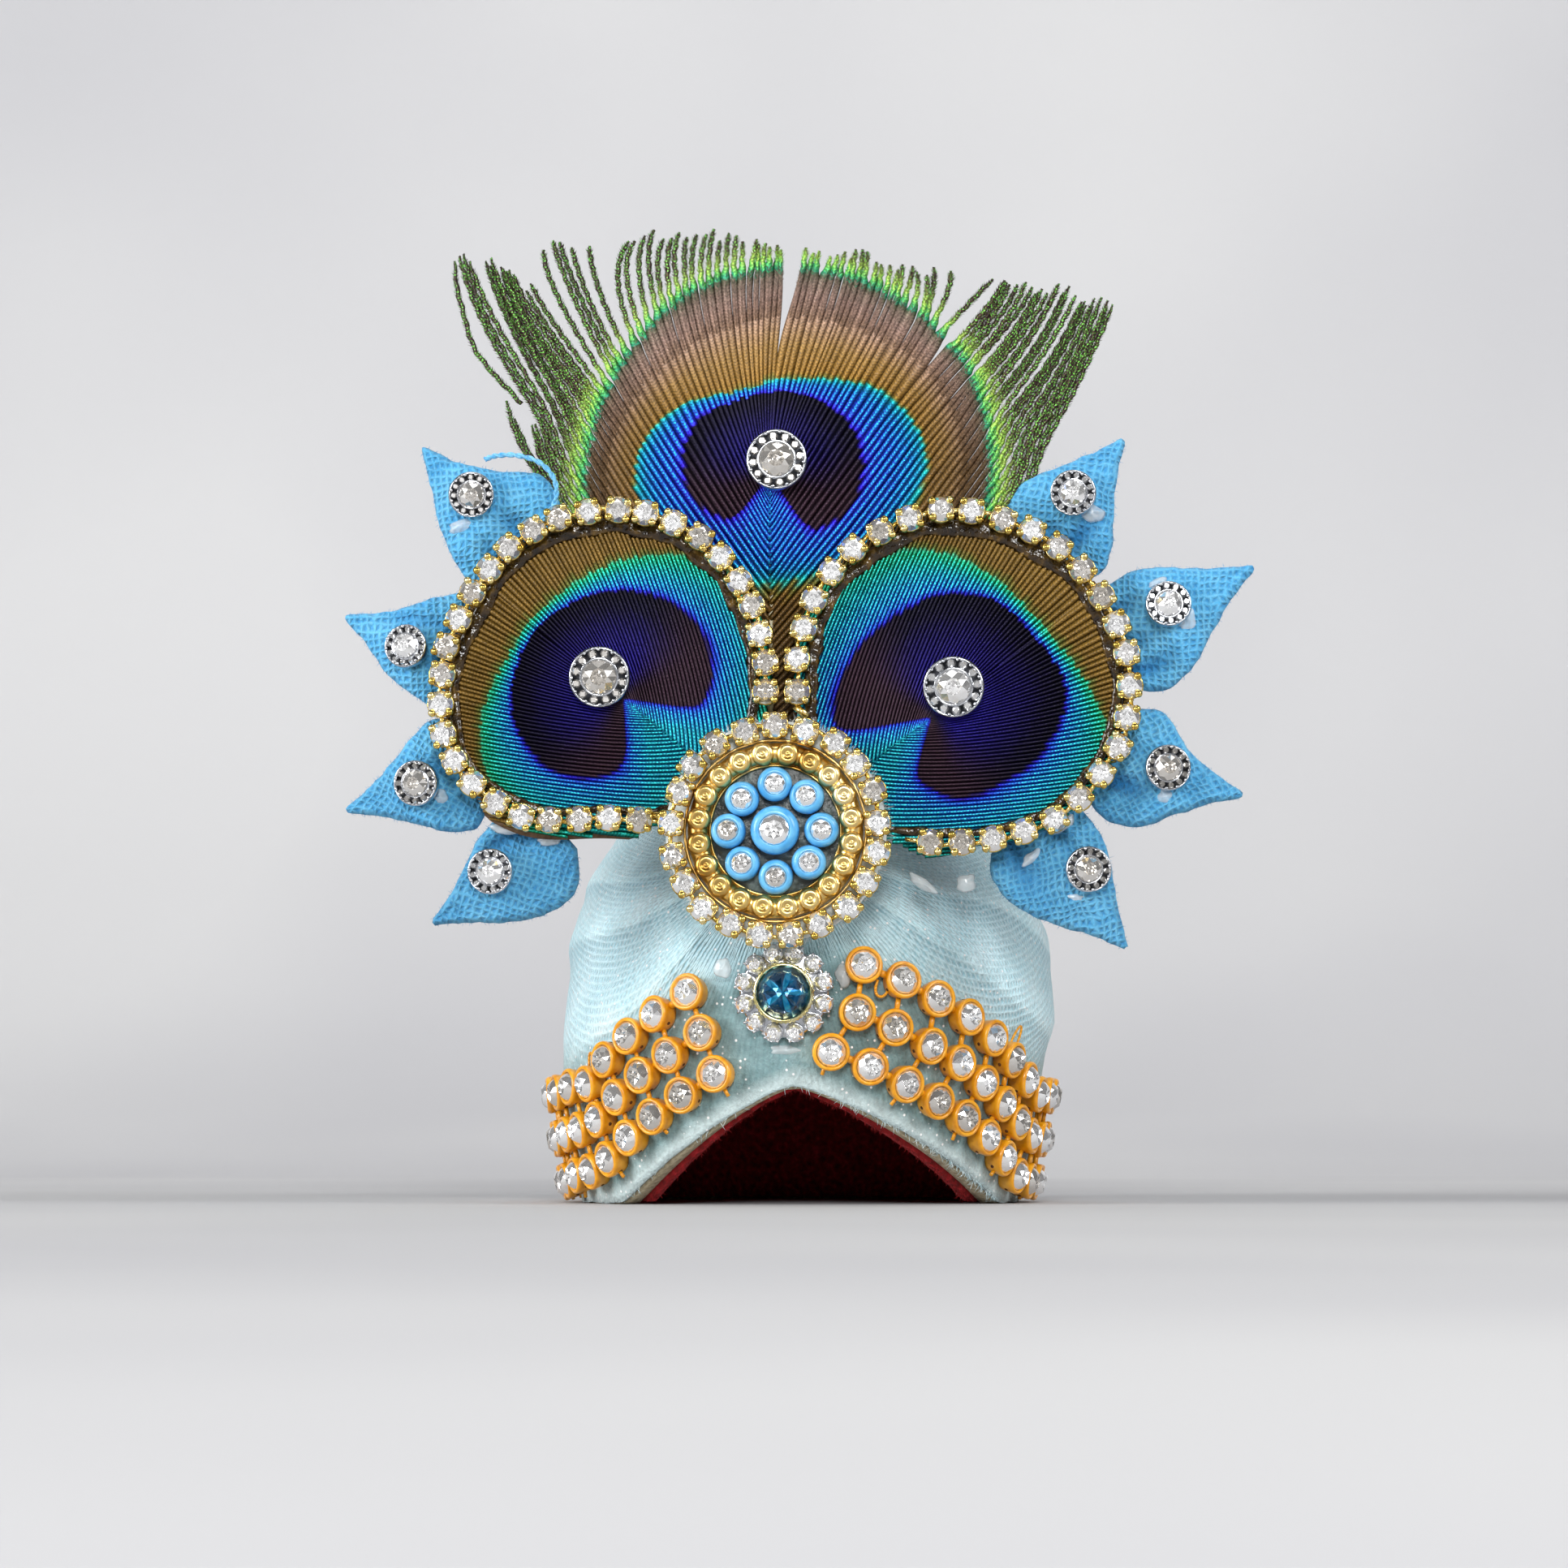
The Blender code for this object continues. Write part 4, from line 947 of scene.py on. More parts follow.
def fan_barbs(side):
    """The barbs of one side of the upright feather, as lists of places across and along the shaft. Inside
    the eye they lie evenly, and beyond it they part into locks."""
    feather = FEATHERS["fan"]
    tips = []
    for first, last, count, lean_first, lean_last in FAN_TIPS[side]:
        for k in range(count):
            share = k / max(count - 1, 1)
            tips.append((first + (last - first) * share, lean_first + (lean_last - lean_first) * share))
    even = []
    for k in range(len(tips)):
        near = [tips[min(max(k + m, 0), len(tips) - 1)] for m in range(-4, 5)]
        middle = smooth(7.0, 0.0, len(tips) - 1 - k)
        line = side * 0.3 + (tips[-9][0] - side * 0.3) * (len(tips) - 1 - k) / 8
        mean = sum(t[0] for t in near) / len(near)
        even.append((mean + (line - mean) * middle, sum(t[1] for t in near) / len(near) * (1.0 - middle)))
    barbs = []
    inner = None
    for index, (start, angle) in enumerate(barb_starts(len(tips), 40.0, 16.0, 1.12)):
        tip_x = tips[index][0] + draw.uniform(-0.12, 0.12)
        parting = 2.9 - 1.0 * smooth(5.0, 0.0, len(tips) - 1 - index)
        lean = math.radians(even[index][1])
        tip_z = between(FAN_TOP, tip_x, 1) + draw.uniform(-0.9, 0.3)
        tip = (even[index][0] - feather["end"][0], tip_z - feather["end"][1])
        shift = tip_x - even[index][0]
        extra = math.radians(tips[index][1] + draw.uniform(-7.0, 7.0)) - lean
        turn = side * math.radians(angle)
        chord = math.hypot(tip[0], tip[1] - start)
        m0 = (chord * math.sin(turn), chord * math.cos(turn))
        m1 = (0.55 * chord * math.sin(lean), 0.55 * chord * math.cos(lean))
        count = max(int(chord / 0.5), 8)
        wave = draw.uniform(0.0, 6.0)
        path = []
        rim = 0.0
        for k in range(count + 1):
            t = k / count
            h = hermite(t)
            u = h[1] * m0[0] + h[2] * tip[0] + h[3] * m1[0]
            v = h[0] * start + h[1] * m0[1] + h[2] * tip[1] + h[3] * m1[1]
            if zone_of(feather, u, v)[0] < parting:
                rim = t
            path.append((u, v, t))
        inner = inner or [(u, v) for u, v, t in path]
        rim = min(rim, 0.86)
        bent = []
        for u, v, t in path:
            free = max(t - rim, 0.0) / (1.0 - rim)
            late = chord * (1.0 - rim)
            u += shift * free**1.3 + 0.35 * late * math.tan(extra) * (free**3 - free**2)
            u += 0.16 * math.sin(7.0 * t + wave) * smooth(0.0, 1.0, free)
            u -= side * 0.12 * (1.0 - min(t * 30.0, 1.0))
            bent.append((u, v))
        barbs.append(bent)
    return locks_beside(side, inner) + barbs


EYE_TRIM = {"left": (256.0, 36.0, 1.2), "right": (263.0, 14.0, 0.9)}


def eye_edge(side_name, angle):
    """How far a panel reaches from its middle: to its chain, and a little beyond it below."""
    middle, half, more = EYE_TRIM[side_name]
    off = abs((angle - middle + 180.0) % 360.0 - 180.0)
    return around(EYE_RADII[side_name], angle) + more * smooth(half, half - 12.0, off)


def eye_barbs(side_name, side):
    """The barbs of one side of a round panel, cut off along the chain, and a little outside it below."""
    feather = FEATHERS[side_name]
    centre = EYES[side_name]
    barbs = []
    for start, angle in barb_starts(66, 46.0, 21.0, 0.62):
        u, v = -side * 0.12, start
        path = []
        gone = 0.0
        before = None
        while gone < 40.0:
            x, z = to_plane(feather, u, v)
            reach = math.hypot(x - centre[0], z - centre[1])
            turned = math.degrees(math.atan2(z - centre[1], x - centre[0]))
            roughened = 0.25 * noise.noise(Vector((x * 1.3, z * 1.3, 0.0)))
            beyond = reach - eye_edge(side_name, turned) - 0.35 - roughened
            if before and (beyond > 0.0) != (before[2] > 0.0):
                share = before[2] / (before[2] - beyond)
                path.append((before[0] + (u - before[0]) * share, before[1] + (v - before[1]) * share))
            if beyond > 0.0:
                if path:
                    break
            else:
                path.append((u, v))
            before = (u, v, beyond)
            bend = angle * (0.55 + 0.45 * math.exp(-gone / 16.0))
            bend += 7.0 * (angle / 50.0) * math.exp(-gone / 5.0)
            u += side * 0.5 * math.sin(math.radians(bend))
            v += 0.5 * math.cos(math.radians(bend))
            gone += 0.5
        if len(path) > 3:
            barbs.append(path)
    return barbs


def feather_mesh(name, feather, sides, depth, bow, material, loose_from=None):
    """Barbs as low three sided ridges, side by side where they are hooked together and narrow where they
    are free, with free barbules as fine spikes beyond loose_from."""
    points, faces, uvs = [], [], []
    fields = {"zone": [], "notch": [], "lobe": [], "tone": []}

    def vertex(x, y, z, uv, values):
        points.append((x, y, z))
        uvs.append(uv)
        for field, value in zip(fields.values(), values):
            field.append(value)

    for side, barbs in sides:
        for index, path in enumerate(barbs):
            following = barbs[min(index + 1, len(barbs) - 1)]
            previous = barbs[max(index - 1, 0)]
            tone = draw.random()
            layer = depth + 0.05 * (index % 2) + draw.uniform(-0.02, 0.02)
            sway = draw.uniform(-0.16, 0.16)
            first = len(points)
            gone = 0.0
            for k, (u, v) in enumerate(path):
                a, b = path[max(k - 1, 0)], path[min(k + 1, len(path) - 1)]
                way = Vector((b[0] - a[0], b[1] - a[1])).normalized()
                across = Vector((way.y, -way.x))
                gaps = {}
                for other in (following, previous):
                    if other is path:
                        continue
                    near = min(other, key=lambda p: abs((p[0] - u) * way.x + (p[1] - v) * way.y))
                    gap = (near[0] - u) * across.x + (near[1] - v) * across.y
                    gaps[gap > 0.0] = abs(gap)
                zone, notch, lobe = zone_of(feather, u, v)
                free = smooth(2.85, 3.2, zone)
                slit = 0.45 * smooth(2.3, 2.9, zone) if tone > 0.55 and loose_from else 0.0
                widths = []
                ending = 0.35 + 0.65 * min((len(path) - 1 - k) / 4.0, 1.0)
                for beyond in (False, True):
                    gap = gaps.get(beyond, gaps.get(not beyond, 0.6)) * (1.15 - (0.0 if beyond else slit))
                    widths.append(0.5 * min(max(gap, 0.26), 1.4 - 0.98 * free) * ending)
                thick = 0.09 + 0.17 * free
                tall = layer - bow * max(v - 4.0, 0.0) ** 2 + sway * free
                swing = 0.10 * free * math.sin(1.9 * k + 5.0 * tone)
                for reach, lift, uv_x in ((-widths[0], 0.0, 0.0), (0.0, thick, 0.5), (widths[1], 0.0, 1.0)):
                    x, z = to_plane(feather, u + across.x * (reach + swing), v + across.y * (reach + swing))
                    vertex(x, -(tall + lift), z, (uv_x, gone + 37.0 * tone), (zone, notch, lobe, tone))
                if k:
                    low, high = first + 3 * (k - 1), first + 3 * k
                    for m in range(3):
                        n = (m + 1) % 3
                        faces.append((low + m, high + m, high + n, low + n))
                gone += math.hypot(b[0] - a[0], b[1] - a[1]) * 0.5
            faces.append((first, first + 1, first + 2))
            last = first + 3 * (len(path) - 1)
            faces.append((last + 2, last + 1, last))
            if loose_from is None:
                continue
            steps = 5
            for k in range(1, len(path) - 1):
                zone, notch, lobe = zone_of(feather, *path[k])
                if zone < loose_from:
                    continue
                a, b = path[k - 1], path[k + 1]
                way = Vector((b[0] - a[0], b[1] - a[1])).normalized()
                across = Vector((way.y, -way.x))
                tall = layer - bow * max(path[k][1] - 4.0, 0.0) ** 2 + 0.1 + sway * smooth(2.85, 3.2, zone)
                for step in range(steps):
                    share = step / steps
                    u = path[k][0] + (path[k + 1][0] - path[k][0]) * share
                    v = path[k][1] + (path[k + 1][1] - path[k][1]) * share
                    for hand in (-1, 1):
                        reach = draw.uniform(0.30, 0.62) * (0.6 + 0.4 * smooth(loose_from, 3.2, zone))
                        reach *= min(0.25 + 0.3 * (len(path) - 1 - k - share), 1.0)
                        out = across * (hand * reach * 0.72) + way * (reach * draw.uniform(0.55, 1.0))
                        lift = draw.uniform(-0.12, 0.18)
                        base = len(points)
                        field = (zone + draw.uniform(-0.04, 0.04), notch, lobe, draw.random())
                        # painted shade: barbules on one hand take the barb's dark edge tone and those on the
                        # other its lit ridge tone, so that each strand looks lit from one side
                        uv = (0.5 if hand < 0 else 0.94, 31.0 * draw.random())
                        for c in ((-0.08, 0.0), (0.08, 0.0), (0.0, 0.07)):
                            x, z = to_plane(feather, u + way.x * c[0], v + way.y * c[0])
                            vertex(x, -(tall + c[1]), z, uv, field)
                        x, z = to_plane(feather, u + out.x, v + out.y)
                        vertex(x, -(tall + lift), z, uv, field)
                        faces.append((base, base + 1, base + 2))
                        for m in range(3):
                            faces.append((base + m, base + 3, base + (m + 1) % 3))
    return piece(name, solid(points, faces), [material], uvs, fields)


# Peacock feather: keratin barbs whose barbules give clear colours without dye. The eye is satin and deep,
# the bronze ground duller, and the fringe brown with flecks of green and a few of purple.
FEATHER_BANDS = {
    "fan": [
        (0.00, "#180E6C"), (0.12, "#120A4C"), (0.20, "#0A0424"), (0.244, "#050214"), (0.250, "#2814B4"),
        (0.262, "#2E22D2"), (0.300, "#2034C2"), (0.380, "#1844BC"), (0.440, "#125EAE"), (0.484, "#0F80A0"),
        (0.499, "#1CB4A8"), (0.505, "#5E6A2C"), (0.520, "#936C26"), (0.580, "#94723C"), (0.640, "#967862"),
        (0.690, "#A08478"), (0.728, "#8A7A6C"), (0.742, "#5C6048"), (0.750, "#2CA07C"), (0.762, "#5CC264"),
        (0.785, "#A0C452"), (0.806, "#7C8C3E"), (0.830, "#4E4226"), (0.950, "#40331E"),
    ],
    "left": [
        (0.00, "#1A1080"), (0.12, "#130954"), (0.20, "#090324"), (0.244, "#050214"), (0.250, "#1A0E9C"),
        (0.258, "#1C34BE"), (0.295, "#1454B6"), (0.345, "#1070A8"), (0.395, "#0E8494"), (0.440, "#109278"),
        (0.486, "#1AA068"), (0.498, "#34B084"), (0.504, "#55642A"), (0.520, "#705622"), (0.620, "#82642C"),
        (0.800, "#5A4418"),
    ],
}
FEATHER_BANDS["right"] = FEATHER_BANDS["left"]
BLUE_PART = [(0.252, "#000000"), (0.285, "#FFFFFF"), (0.47, "#FFFFFF"), (0.505, "#000000")]
STROKE_EVERY = 0.3


def feather_finish(name, bands, glint_colour, glint_strength, dusk):
    """The finish of a feather's eye: bands of colour out from its heart, the colour and strength of a
    painted glint on the ridges of its barbs, and the heights between which its bronze grows darker downward."""
    made, tree, shader = finish_of(name, "#1D4FD6", metallic=0.45, roughness=0.36, Specular_IOR_Level=0.3)
    place = in_millimetres(tree)
    fields = ("zone", "notch", "lobe", "tone")
    zone, notch, lobe, tone = (add(tree, "Attribute", out="Fac", attribute_name=field) for field in fields)
    strand = add(tree, "UVMap", uv_map="surface")
    parts = add(tree, "SeparateXYZ", (strand,))
    # each barb changes colour at a slightly different place, which leaves a toothed edge between the bands
    ragged = add(tree, "TexNoise", (place, 1.4, 2.0))
    tooth = add(tree, "Math", (tone, ragged), operation="ADD")
    shift = add(tree, "MapRange", (tooth, 0.2, 1.8, -0.035, 0.035))
    shifted = add(tree, "Math", (zone, shift), operation="ADD")
    # the notch belongs to the oval: its place there is counted from the heart's edge, with round corners
    rim = add(tree, "MapRange", (notch, -4.0, 2.0, 0.04, 1.48))
    chosen = add(tree, "Math", (rim, shifted, 0.4), operation="SMOOTH_MAX")
    quarter = add(tree, "Math", (chosen, 0.25), operation="MULTIPLY")
    band = add(tree, "ValToRGB", (quarter,), stops=bands)
    # the lobes of the heart are brown with a violet cast
    brown = add(tree, "MapRange", (chosen, 1.0, 0.96))
    brown = add(tree, "Math", (brown, lobe), operation="MULTIPLY")
    hearted = add(tree, "Mix", (brown, band, linear("#2C1A26")), data_type="RGBA")
    in_bronze = add(tree, "MapRange", (chosen, 2.02, 2.1, 0.0, 0.85))
    height = add(tree, "SeparateXYZ", (place,), out="Z")
    low = add(tree, "MapRange", (height, dusk[0], dusk[1]))
    low = add(tree, "Math", (low, in_bronze), operation="MULTIPLY")
    ends = add(tree, "MapRange", (chosen, 2.94, 2.9))
    low = add(tree, "Math", (low, ends), operation="MULTIPLY")
    dusky = add(tree, "Mix", (low, hearted, linear("#5C4420")), data_type="RGBA")
    # barbules, really 0.03 mm apart, are drawn as strokes that slant away from the ridge of their barb
    from_ridge = add(tree, "Math", (parts.outputs["X"], 0.5), operation="SUBTRACT")
    from_ridge = add(tree, "Math", (from_ridge,), operation="ABSOLUTE")
    along = add(tree, "Math", (parts.outputs["Y"], 2.0 * math.pi / STROKE_EVERY), operation="MULTIPLY")
    slanted = add(tree, "Math", (from_ridge, -9.0, along), operation="MULTIPLY_ADD")
    stroke = add(tree, "Math", (slanted,), operation="SINE")
    fine = add(tree, "TexNoise", (place, 5.5, 2.0))
    fine = add(tree, "Math", (stroke, 0.12, fine), operation="MULTIPLY_ADD")
    green = add(tree, "Math", (fine, 0.60), operation="GREATER_THAN")
    in_fringe = add(tree, "MapRange", (chosen, 3.0, 3.3))
    green = add(tree, "Math", (green, in_fringe), operation="MULTIPLY")
    green = add(tree, "Math", (green, 0.75), operation="MULTIPLY")
    flecked = add(tree, "Mix", (green, dusky, linear("#66B44A")), data_type="RGBA")
    dark_fleck = add(tree, "Math", (fine, 0.46), operation="LESS_THAN")
    dark_fleck = add(tree, "Math", (dark_fleck, in_fringe), operation="MULTIPLY")
    dark_fleck = add(tree, "Math", (dark_fleck, 0.7), operation="MULTIPLY")
    purple = add(tree, "Mix", (dark_fleck, flecked, linear("#3A2430")), data_type="RGBA")
    # painted shade and glint: each barb is painted dark along its edges and lighter on its ridge, and in the
    # blue a painted turquoise glint lies on the ridge
    glint = add(tree, "MapRange", (from_ridge, 0.22, 0.08, 0.0, glint_strength))
    blueness = add(tree, "ValToRGB", (quarter,), stops=BLUE_PART)
    glint = add(tree, "Math", (glint, blueness), operation="MULTIPLY")
    dotted = add(tree, "MapRange", (fine, 0.38, 0.58, 0.15, 1.0))
    glint = add(tree, "Math", (glint, dotted), operation="MULTIPLY")
    glinting = add(tree, "Mix", (glint, purple, linear(glint_colour)), data_type="RGBA")
    dashes = add(tree, "MapRange", (fine, 0.3, 0.7, 0.58, 1.42))
    # the bronze and the fringe are fluffier, so the painted shade on their barbs' edges is weaker, but their
    # barbs differ one from the next in tone
    fluffy = add(tree, "MapRange", (chosen, 2.0, 2.2, 0.36, 0.74))
    level = add(tree, "MapRange", (from_ridge, 0.14, 0.5, 1.08, fluffy))
    mottle = add(tree, "MapRange", (tone, 0.0, 1.0, 0.62, 1.45))
    mottled = add(tree, "Math", (in_bronze, 0.35, in_fringe), operation="MULTIPLY_ADD", use_clamp=True)
    mottle = add(tree, "Mix", (mottled, 1.0, mottle), data_type="FLOAT")
    level = add(tree, "Math", (level, mottle), operation="MULTIPLY")
    level = add(tree, "Math", (level, dashes), operation="MULTIPLY")
    grey = add(tree, "CombineColor", (level, level, level))
    lit = add(tree, "Mix", (1.0, glinting, grey), data_type="RGBA", blend_type="MULTIPLY")
    feed(shader.inputs["Base Color"], lit)
    shine = add(tree, "MapRange", (chosen, 1.9, 2.2, 0.55, 0.12))
    feed(shader.inputs["Metallic"], shine)
    feed(shader.inputs["Normal"], add(tree, "Bump", {"Height": fine, "Distance": 0.00005, "Strength": 0.7}))
    return made


FAN_STRAYS = [
    # curled barbs outside the rest on the left, as places (x, z) from the tip down
    [
        (-30.5, 87.0), (-30.3, 84.6), (-29.8, 82.6), (-28.7, 79.0), (-27.0, 76.6), (-25.5, 75.0),
        (-24.2, 73.6),
    ],
    [(-25.6, 73.9), (-25.0, 71.6), (-23.9, 69.0), (-22.4, 66.4)],
    [(-24.9, 72.2), (-23.8, 69.6), (-22.2, 66.6)],
]

fan_finish = feather_finish("peacock_feather_upright", FEATHER_BANDS["fan"], "#1A9CB6", 0.72, (80.0, 67.0))
end_x, end_z = FEATHERS["fan"]["end"]
strays = [[(x - end_x, z - end_z) for x, z in through(stray, 0.5)][::-1] for stray in FAN_STRAYS]
barbs = [(side, fan_barbs(side)) for side in (-1, 1)]
barbs += [(-1, [stray]) for stray in strays]
fan_feather = feather_mesh(
    "fan_barbs", FEATHERS["fan"], barbs, FAN_DEPTH, 0.0012, fan_finish, loose_from=2.55
)
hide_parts("feather_fan")
eye_finish = feather_finish("peacock_feather_trimmed", FEATHER_BANDS["left"], "#28B8B2", 0.80, (30.0, 20.0))
for side_name in ("left", "right"):
    barbs = [(side, eye_barbs(side_name, side)) for side in (-1, 1)]
    name, feather = "eye_barbs_" + side_name, FEATHERS[side_name]
    made = feather_mesh(name, feather, barbs, EYE_FEATHER_DEPTH, 0.0, eye_finish)
    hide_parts("feather_eye_" + side_name)


def tapered(places, radii, sides=10):
    """A round bar through places, whose radius changes on the way."""
    points = []
    for k, (place, radius) in enumerate(zip(places, radii)):
        way = (places[min(k + 1, len(places) - 1)] - places[max(k - 1, 0)]).normalized()
        side = way.cross(Vector((0.0, 1.0, 0.0)))
        side = (side if side.length > 0.1 else way.orthogonal()).normalized()
        other = way.cross(side)
        for m in range(sides):
            turn = 2.0 * math.pi * m / sides
            points.append(tuple(place + (side * math.cos(turn) + other * math.sin(turn)) * radius))
    return solid(points, skin(len(places), sides))


# The shaft shows only behind: cream horn, thick at the foot and fine at its end.
SHAFT_FOOT_Z, SHAFT_RISE, SHAFT_DEPTH = 39.4, 26.2, 26.25
SHAFT_RADII = (0.62, 0.20)
horn = grained(
    "feather_shaft_horn", "#E4D9BC", (0.5, 2.0), [(0.3, "#C9B88E"), (0.7, "#EFE6CC")], roughness=0.35,
    Subsurface_Weight=0.15, Subsurface_Scale=0.0006,
)
places, radii = [], []
for k in range(13):
    places.append(Vector((-1.2 - 0.1 * math.sin(k * 0.5), -SHAFT_DEPTH, SHAFT_FOOT_Z + SHAFT_RISE * k / 12)))
    radii.append(SHAFT_RADII[0] - (SHAFT_RADII[0] - SHAFT_RADII[1]) * k / 12)
piece("fan_shaft", tapered(places, radii), [horn])

# Card behind each round panel, brown, to which its feather is glued.
card = grained(
    "card_brown_pressed", "#5C4630", (1.8, 5.0), [(0.3, "#46331F"), (0.7, "#6E5740")], bump=(0.00008, 0.6),
    roughness=0.9,
)

# Hot glue run along the chain, browned by the feather under it: a wavy glossy strip.
brown_glue = grained(
    "hot_glue_browned", "#241708", (1.1, 3.0), [(0.35, "#1A1006"), (0.55, "#38280F"), (0.72, "#6A5020")],
    bump=(0.0003, 0.8), roughness=0.13,
)


def eye_place(side_name, angle, inward=0.0):
    """A place on the chain's curve round an eye, or some way in from it."""
    radius = around(EYE_RADII[side_name], angle) - inward
    turn = math.radians(angle)
    return EYES[side_name][0] + radius * math.cos(turn), EYES[side_name][1] + radius * math.sin(turn)


GLUE_LANES = 7
for side_name in ("left", "right"):
    points = []
    for inward, depth in (
        (0.35, EYE_CARD_DEPTH[0]), (0.2, EYE_CARD_DEPTH[0] + 0.1), (0.2, EYE_CARD_DEPTH[1])
    ):
        for k in range(EYE_SECTORS):
            angle = 360.0 * k / EYE_SECTORS
            more = 1.6 * (eye_edge(side_name, angle) - around(EYE_RADII[side_name], angle))
            x, z = eye_place(side_name, angle, inward - more)
            points.append((x, -depth, z))
    piece("eye_card_" + side_name, solid(points, skin(3, EYE_SECTORS)), [card])
    points, faces = [], []
    for k in range(EYE_SECTORS):
        angle = 360.0 * k / EYE_SECTORS
        turn = math.radians(angle)
        place = Vector((math.cos(turn), math.sin(turn), EYES[side_name][0])) * 3.0
        upper = 0.5 + 0.5 * math.sin(math.radians(angle))
        inner = 1.35 + 0.75 * upper + 0.40 * noise.noise(place * 1.7) + 0.16 * noise.noise(place * 5.0)
        for m in range(GLUE_LANES):
            share = m / (GLUE_LANES - 1)
            x, z = eye_place(side_name, angle, 0.5 + (inner - 0.5) * share)
            swell = 0.30 * math.sqrt(max(1.0 - (2.0 * share - 1.0) ** 2, 0.0))
            swell *= 0.8 + 0.9 * noise.noise(place * 9.0 + Vector((0.0, 0.0, 2.0 * share)))
            points.append((x, -(EYE_FEATHER_DEPTH + 0.05 + swell), z))
        x, z = eye_place(side_name, angle, 0.5 + 0.5 * (inner - 0.5))
        points.append((x, -(EYE_FEATHER_DEPTH - 0.02), z))
    ring = GLUE_LANES + 1
    for k in range(EYE_SECTORS):
        j = (k + 1) % EYE_SECTORS
        for m in range(ring):
            n = (m + 1) % ring
            faces.append((k * ring + m, j * ring + m, j * ring + n, k * ring + n))
    piece("eye_glue_" + side_name, solid(points, faces), [brown_glue])

# Petals
# Eight pointed petals of sky blue muslin, each folded to a corner, drawn together at its base and glued
# behind the feather eyes. Two thicknesses and the gathers between them make them puffy.
PETAL_FRONT = 27.1
PETAL_SECTIONS = (-0.20, 0.05, 0.30, 0.55, 0.80)
PETAL_RISE = (0.0, 0.1, 0.75, 0.55, 0.1)
PETAL_THICK = (1.5, 1.5, 1.9, 1.7, 1.3)
PETALS = {
    # base x, z, tip x, z, widths to the left going outward, widths to the right, turn of the weave in
    # degrees, then the gathers: place across at the base and at the outer end, reach, depth and half width
    # in mm
    "left_1": (
        (-24.4, 59.6, -33.2, 69.4, (4.0, 5.0, 4.7, 3.5, 1.7), (4.2, 6.3, 6.6, 3.6, 1.4)),
        -38.0,
        [(0.35, 0.1, 0.45, 0.75, 0.7), (-0.35, -0.3, 0.35, 0.6, 0.6)],
    ),
    "left_2": (
        (-30.4, 50.7, -40.2, 53.9, (4.2, 5.3, 4.7, 3.5, 1.6), (4.0, 5.4, 4.3, 2.4, 1.1)),
        20.0, [(0.25, 0.62, 0.9, 0.5, 0.6), (-0.3, -0.25, 0.4, 0.5, 0.7)],
    ),
    "left_3": (
        (-30.0, 39.6, -40.0, 36.2, (4.8, 5.5, 4.5, 2.8, 1.3), (4.2, 5.4, 4.3, 2.6, 1.2)),
        42.0, [(0.1, 0.25, 0.4, 0.5, 0.7)],
    ),
    "left_4": (
        (-23.0, 33.6, -32.0, 25.9, (5.2, 6.4, 6.2, 4.6, 2.2), (2.9, 3.5, 3.3, 2.1, 0.9)),
        30.0, [(0.35, 0.55, 0.7, 0.6, 0.6), (0.0, 0.1, 0.35, 0.5, 0.8)],
    ),
    "right_1": (
        (24.4, 60.3, 30.9, 69.6, (4.4, 5.6, 5.2, 3.4, 1.6), (4.0, 5.3, 4.5, 2.7, 1.2)),
        25.0, [(0.1, 0.55, 0.50, 0.95, 0.75), (-0.25, 0.0, 0.3, 0.5, 0.6)],
    ),
    "right_2": (
        (31.1, 51.4, 42.6, 57.9, (4.0, 5.0, 5.1, 3.5, 1.6), (4.2, 5.7, 5.3, 3.3, 1.4)),
        -32.0,
        [(0.55, 0.62, 0.35, 0.7, 0.55), (-0.5, -0.55, 0.30, 0.7, 0.5), (0.1, 0.15, 0.3, 0.5, 0.7)],
    ),
    "right_3": (
        (30.0, 39.6, 41.5, 37.3, (4.4, 5.7, 5.9, 3.0, 1.3), (3.6, 4.7, 4.6, 2.9, 1.3)),
        40.0, [(0.15, 0.35, 0.40, 0.9, 0.7), (-0.35, -0.3, 0.3, 0.4, 0.7)],
    ),
    "right_4": (
        (23.7, 33.6, 30.9, 23.6, (3.4, 4.2, 4.1, 2.8, 1.3), (5.4, 6.2, 5.9, 4.2, 1.9)),
        -25.0, [(0.5, 0.6, 0.45, 0.6, 0.9), (-0.2, -0.3, 0.35, 0.4, 0.6)],
    ),
}
PETAL_TIP_WIDTH = 0.42
PETAL_ROLL_FROM = 0.985
PETAL_ENDS_AT = 1.015
PETAL_ROWS, PETAL_LANES, PETAL_BACK_LANES = 44, 34, 6
MUSLIN_THREAD = 0.62
MUSLIN_WAVES = 0.31416 / MUSLIN_THREAD  # scale of a wave texture with a band for each thread


def petal_width(widths, share):
    """The petal's width at a share of its length, between its five sections and its rolled tip."""
    places = (*PETAL_SECTIONS, PETAL_ROLL_FROM)
    table = (*widths, PETAL_TIP_WIDTH)
    i = max(k for k in range(len(places) - 1) if share >= places[k] or k == 0)
    a, b = places[i], places[i + 1]
    t = (share - a) / (b - a)
    if t > 1.0:
        return PETAL_TIP_WIDTH * math.sqrt(max(1.0 - ((share - PETAL_ROLL_FROM) / 0.035) ** 2, 0.02))
    slopes = []
    for k in (i, i + 1):
        low, high = max(k - 1, 0), min(k + 1, len(places) - 1)
        slopes.append((table[high] - table[low]) / (places[high] - places[low]) * (b - a))
    h = hermite(t)
    return h[0] * table[i] + h[1] * slopes[0] + h[2] * table[i + 1] + h[3] * slopes[1]


# Muslin, dyed sky blue: an open plain weave of fuzzy threads with darker holes between them.
muslin, tree, shader = finish_of(
    "cotton_muslin_sky_blue", "#4EA9DC", roughness=0.92, Sheen_Weight=0.25, Sheen_Tint=linear("#9AD4F2")
)
place = in_millimetres(tree)
cloth = add(tree, "UVMap", uv_map="surface")
